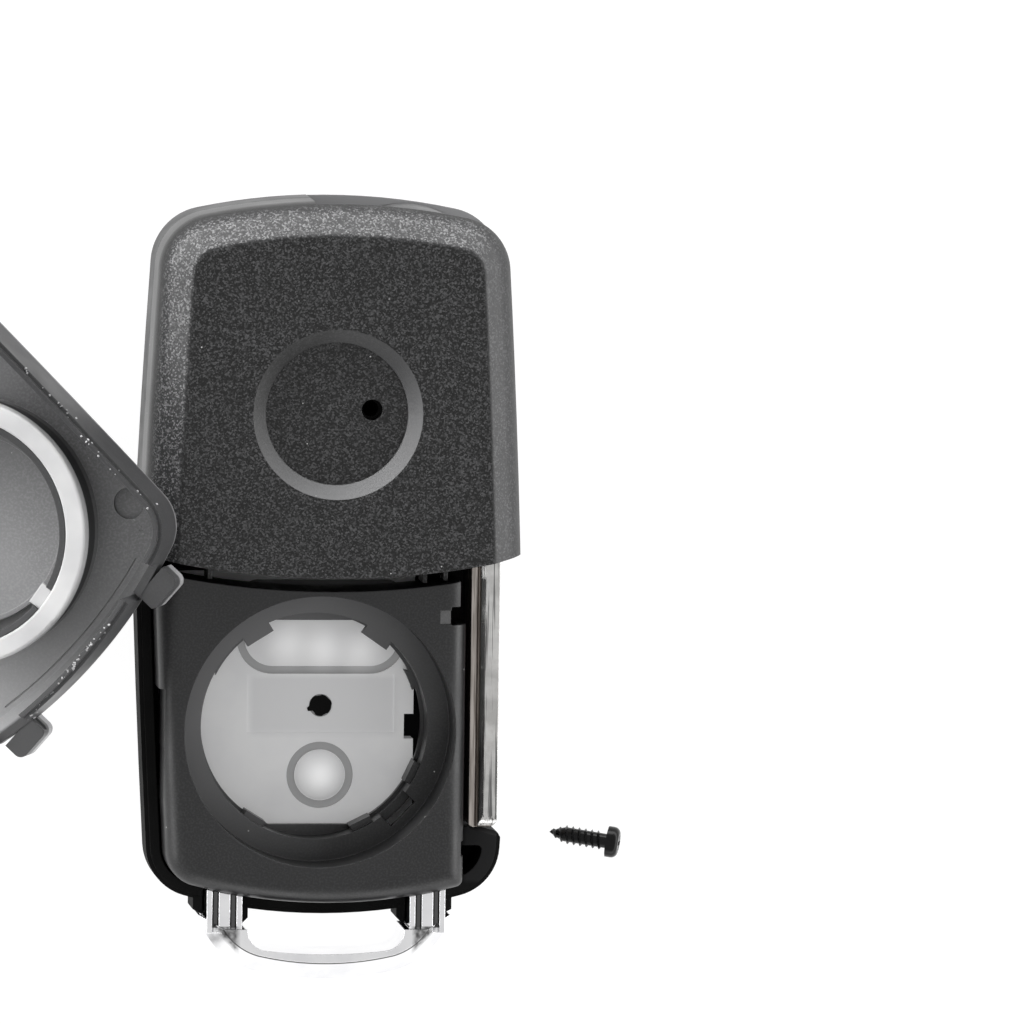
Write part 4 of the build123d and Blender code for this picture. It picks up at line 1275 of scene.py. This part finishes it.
@dataclass
class RemoteHalf(Assembly):
    """Battery frame, keypad and its contact."""

    nodes: ClassVar[dict[str, Finish]] = {
        "battery_frame": FRAME,
        "keypad": SILICONE,
        "contact_pill": PILL,
    }
    mat_top: float = 3.9
    dome_y: float = -18.8
    dome_sides: int = 48
    dome_radius: float = 2.44
    dome_foot: float = 0.4
    dome_sunk: float = 0.15
    dome_high: float = 0.6
    dome_rings: int = 6
    dome_crown: float = 0.6
    pill_y: float = -12.1
    pill_sides: int = 40
    pill_radius: float = 1.02
    pill_high: float = 0.5
    pill_sunk: float = 0.25
    # Where the pill's edge is torn: angle in degrees and how far out or in
    pill_tears: tuple[Span, ...] = ((195, 0.3), (228, -0.12), (100, -0.1), (20, 0.08), (300, -0.08))
    pill_tear_radius: float = 0.26
    pill_border: float = 0.12
    pill_rise: float = 0.06

    def model(self, frame: Frame) -> None:
        """Makes the dome and the pill."""
        self.dome()
        self.pill()

    def dome(self) -> None:
        """Soft dome that pushes the round button, cast on the mat."""
        middle = (0, self.dome_y, self.mat_top - self.dome_sunk)
        piece = Bench.rod("keypad_dome", self.dome_sides, self.dome_radius, self.dome_foot, middle)
        step = self.dome_radius * MM / (self.dome_rings + self.dome_crown)
        with Bench.editing():
            Bench.pick_top(piece)
            for ring in range(self.dome_rings):
                before, after = (
                    math.sin(math.radians(90 * at / self.dome_rings)) for at in (ring, ring + 1)
                )
                bpy.ops.mesh.inset(thickness=step)
                bpy.ops.transform.translate(value=(0, 0, self.dome_high * MM * (after - before)))
        Bench.apply(piece, "SUBSURF", levels=1, render_levels=1)
        self.hand_over(piece, SILICONE, "silicone_clear")

    def pill(self) -> None:
        """Contact pill with a ragged edge, as punched from carbon-filled sheet."""
        middle = Vector((0, self.pill_y, self.mat_top - self.pill_sunk))
        piece = Bench.rod(
            "contact_pill_ragged", self.pill_sides, self.pill_radius, self.pill_high, middle
        )
        with Bench.editing():
            for angle, reach in self.pill_tears:
                turn = math.radians(angle)
                way = Vector((math.cos(turn), math.sin(turn), 0.0))
                spot = (way * self.pill_radius + middle) * MM
                near = self.pill_tear_radius * MM
                Bench.pick_points(piece, lambda at, s=spot, n=near: (at.xy - s.xy).length < n)
                bpy.ops.transform.translate(value=way * reach * MM)
            Bench.pick_top(piece)
            bpy.ops.mesh.inset(thickness=self.pill_border * MM)
            bpy.ops.transform.translate(value=(0, 0, self.pill_rise * MM))
        self.hand_over(piece, PILL, "carbon_black", "contact_pill")


@dataclass
class LooseCover(Assembly):
    """The battery cover that was taken off, with its seal."""

    nodes: ClassVar[dict[str, Finish]] = {"battery_cover": INNER, "cover_seal": SEAL}


@dataclass
class MouldFlash(Assembly):
    """Crumbs of flash that the mould left along the loose cover's edges."""

    seed: int = 11
    # Height of the plane that the runs are given in, and how far above it the chips start
    level: float = 8.0
    fall: float = 40.0
    jagged: float = 0.03
    chip: float = 0.16
    chip_sides: int = 5
    chip_sizes: Span = (0.5, 1.1)
    chip_high: float = 0.7
    chip_lean: float = 0.6
    chip_turn: float = 6.28
    chip_points: Span = (0.3, 0.8)
    # Least height of a unit normal for a face of a leaning chip to count as its top
    chip_facing: float = 0.6
    # Each run: start, end, how many chips, how far they stray
    runs: tuple[tuple[Span, Span, int, float], ...] = (
        ((-31.76, 23.5), (-16.54, 7.29), 26, 0.45),
        ((-28.07, -12.77), (-19.85, -2.85), 44, 0.22),
        ((-18.2, 6.2), (-16.9, 3.4), 7, 0.3),
    )

    def model(self, frame: Frame) -> None:
        """Drops the chips on the cover along the line of sight and joins them.
        """
        cover = frame["nodes"]["battery_cover"]
        bpy.context.view_layer.update()
        to_cover = cover.matrix_world.inverted()
        way = Vector(SIGHT).normalized()
        rng = random.Random(self.seed)
        chips = []
        for start, end, count, stray in self.runs:
            for _ in range(count):
                share = rng.random()
                x, y = (
                    a + (b - a) * share + rng.uniform(-stray, stray)
                    for a, b in zip(start, end, strict=True)
                )
                origin = (Vector((x, y, self.level)) - way * self.fall) * MM
                hit, place, _, _ = cover.ray_cast(to_cover @ origin, to_cover.to_3x3() @ way)
                if hit:
                    chips.append(self.crumb(cover.matrix_world @ place / MM, rng))
        Bench.join(chips)
        piece = Bench.drop("cover_flash")
        with Bench.editing():
            bpy.ops.mesh.select_all(action="SELECT")
            bpy.ops.transform.vertex_random(offset=self.jagged * MM, seed=self.seed)
            Bench.face_outwards()
        self.hand_over(piece, BURR, "shell_black")

    def crumb(self, place: Vector, rng: random.Random) -> Piece:
        """One chip, drawn out to a ragged point.

        Args:
            place: Where it lies, in millimetres.
            rng: Source of its size and turn.

        Returns:
            The chip.
        """
        size = self.chip * rng.uniform(*self.chip_sizes)
        lean = self.chip_lean
        spans = ((-lean, lean), (-lean, lean), (0.0, self.chip_turn))
        turn = tuple(rng.uniform(low, high) for low, high in spans)
        chip = Bench.rod("crumb", self.chip_sides, size, size * self.chip_high, place, turn)
        with Bench.editing():
            Bench.pick_faces(chip, lambda face: face.normal.z > self.chip_facing)
            points = (rng.uniform(*self.chip_points), rng.uniform(*self.chip_points))
            bpy.ops.transform.resize(value=(*points, 1.0))
        return chip


@dataclass
class RingLoop(Assembly):
    """Metal loop for the key ring."""

    nodes: ClassVar[dict[str, Finish]] = {"key_ring_loop": LOOP}


@dataclass
class BladeGroup(Assembly):
    """Hub, blade, pin and release."""

    nodes: ClassVar[dict[str, Finish]] = {
        "blade_hub": NYLON,
        "blade": STEEL,
        "blade_pin": SPRING,
        "release_button": SILVER,
        "lock_cross": NYLON,
    }


@dataclass
class LooseScrew(Assembly):
    """The case screw that was taken out, lying on its side."""

    length: float = 6.8
    head_sides: int = 40
    head_radius: float = 1.5
    head_high: float = 1.15
    head_round: float = 0.62
    head_segments: int = 5
    shank_sides: int = 24
    shank_radius: float = 0.7
    thread_radius: float = 0.915
    thread_sunk: float = 0.06
    thread_half: float = 0.3
    thread_steps: int = 22
    thread_fade: float = 0.25
    pitch: float = 0.62
    turns: int = 8
    tip: float = 1.5
    # Share of its width that the tip keeps over each half of its length
    tip_sizes: Span = (0.62, 0.1)
    slot_wide: float = 0.5
    slot_long: float = 1.75
    slot_deep: float = 0.8
    slot_taper: float = 0.6
    lie_x: float = 22.74
    lie_y: float = -24.7
    lie_turn: float = -8.0

    def model(self, frame: Frame) -> None:
        """Makes the screw upright, joins it and lays it down.
        """
        piece = Bench.join([self.shank(), self.thread(), self.head()])
        piece.matrix_world = self.lying(piece)
        piece = Bench.drop("case_screw_threaded")
        self.hand_over(piece, OXIDE, "screw_black", "case_screw")

    def shank(self) -> Piece:
        """Shank with its point drawn out.

        Returns:
            The shank.
        """
        high = self.length - self.head_high
        middle = (0, 0, (high + self.tip) / 2)
        piece = Bench.rod("shank", self.shank_sides, self.shank_radius, high - self.tip, middle)
        step = {"value": (0, 0, -self.tip / 2 * MM)}
        with Bench.editing():
            Bench.pick_top(piece, -1)
            for size in self.tip_sizes:
                bpy.ops.mesh.extrude_region_move(TRANSFORM_OT_translate=step)
                bpy.ops.transform.resize(value=(size, size, 1.0))
        return piece

    def thread(self) -> Piece:
        """Sharp thread wound round the shank, running out on the point.

        Returns:
            The thread.
        """
        Bench.clear()
        bpy.ops.mesh.primitive_circle_add(vertices=3, radius=self.thread_radius * MM)
        piece = Bench.drop("thread")
        root, half = self.shank_radius - self.thread_sunk, self.pitch * self.thread_half
        section = ((self.thread_radius, half), (root, 0.0), (root, 2 * half))
        for point, (x, z) in zip(piece.data.vertices, section, strict=True):
            point.co = (x * MM, 0.0, z * MM)
        Bench.apply(
            piece, "SCREW", axis="Z", screw_offset=self.pitch * MM, iterations=self.turns,
            steps=self.thread_steps, render_steps=self.thread_steps, use_merge_vertices=False,
        )
        with Bench.editing():
            bpy.ops.mesh.select_mode(type="VERT")
            bpy.ops.mesh.select_all(action="DESELECT")
            bpy.ops.mesh.select_non_manifold()
            bpy.ops.mesh.fill_holes(sides=0)
            Bench.face_outwards()
        start = self.thread_fade
        for point in piece.data.vertices:
            share = min(1.0, start + (1.0 - start) * point.co.z / (self.tip * MM))
            point.co.x *= share
            point.co.y *= share
        return piece

    def head(self) -> Piece:
        """Pan head with its cross recess cut in.

        Returns:
            The head.
        """
        middle = (0, 0, self.length - self.head_high / 2)
        piece = Bench.rod("head", self.head_sides, self.head_radius, self.head_high, middle)
        with Bench.editing():
            Bench.pick_top(piece)
            offset, segments = self.head_round * MM, self.head_segments
            bpy.ops.mesh.bevel(offset=offset, segments=segments, affect="EDGES")
        for turn in (0.0, 90.0):
            cutter = self.recess(turn)
            Bench.apply(piece, "BOOLEAN", operation="DIFFERENCE", object=cutter, solver="EXACT")
            bpy.data.objects.remove(cutter)
        return piece

    def recess(self, turn_deg: float) -> Piece:
        """Tapered bar that cuts one slot of the cross.

        Args:
            turn_deg: The slot's turn.

        Returns:
            The bar.
        """
        Bench.clear()
        bpy.ops.mesh.primitive_cube_add(size=1.0, location=(0, 0, self.length * MM))
        bar = bpy.context.object
        bar.scale = (self.slot_long * MM, self.slot_wide * MM, 2 * self.slot_deep * MM)
        bar.rotation_euler = (0, 0, math.radians(turn_deg))
        bar = Bench.drop("recess")
        size = (self.slot_taper, self.slot_taper, 1.0)
        with Bench.editing():
            Bench.pick_top(bar, -1)
            bpy.ops.transform.resize(value=size, center_override=(0, 0, 0))
        return bar

    def lying(self, piece: Piece) -> Matrix:
        """Turn and place of the screw on the resting plane.

        Args:
            piece: The upright screw.

        Returns:
            Its matrix.
        """
        lean = math.atan2(self.head_radius, self.length - self.head_high)
        turn = Matrix.Rotation(math.radians(self.lie_turn), 4, "Z")
        turn = turn @ Matrix.Rotation(math.pi / 2 - lean, 4, "Y")
        low = min((turn @ point.co).z for point in piece.data.vertices)
        return Matrix.Translation((self.lie_x * MM, self.lie_y * MM, -low)) @ turn


def main() -> None:
    """Builds the studio and then each group of the key."""
    logging.basicConfig(level=logging.INFO, format="%(message)s")
    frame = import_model()
    Studio().build()
    palette: dict[str, Material] = {}
    for group in (Case, RemoteHalf, LooseCover, MouldFlash, RingLoop, BladeGroup, LooseScrew):
        group(palette=palette).build(frame)


if __name__ == "__main__":
    main()
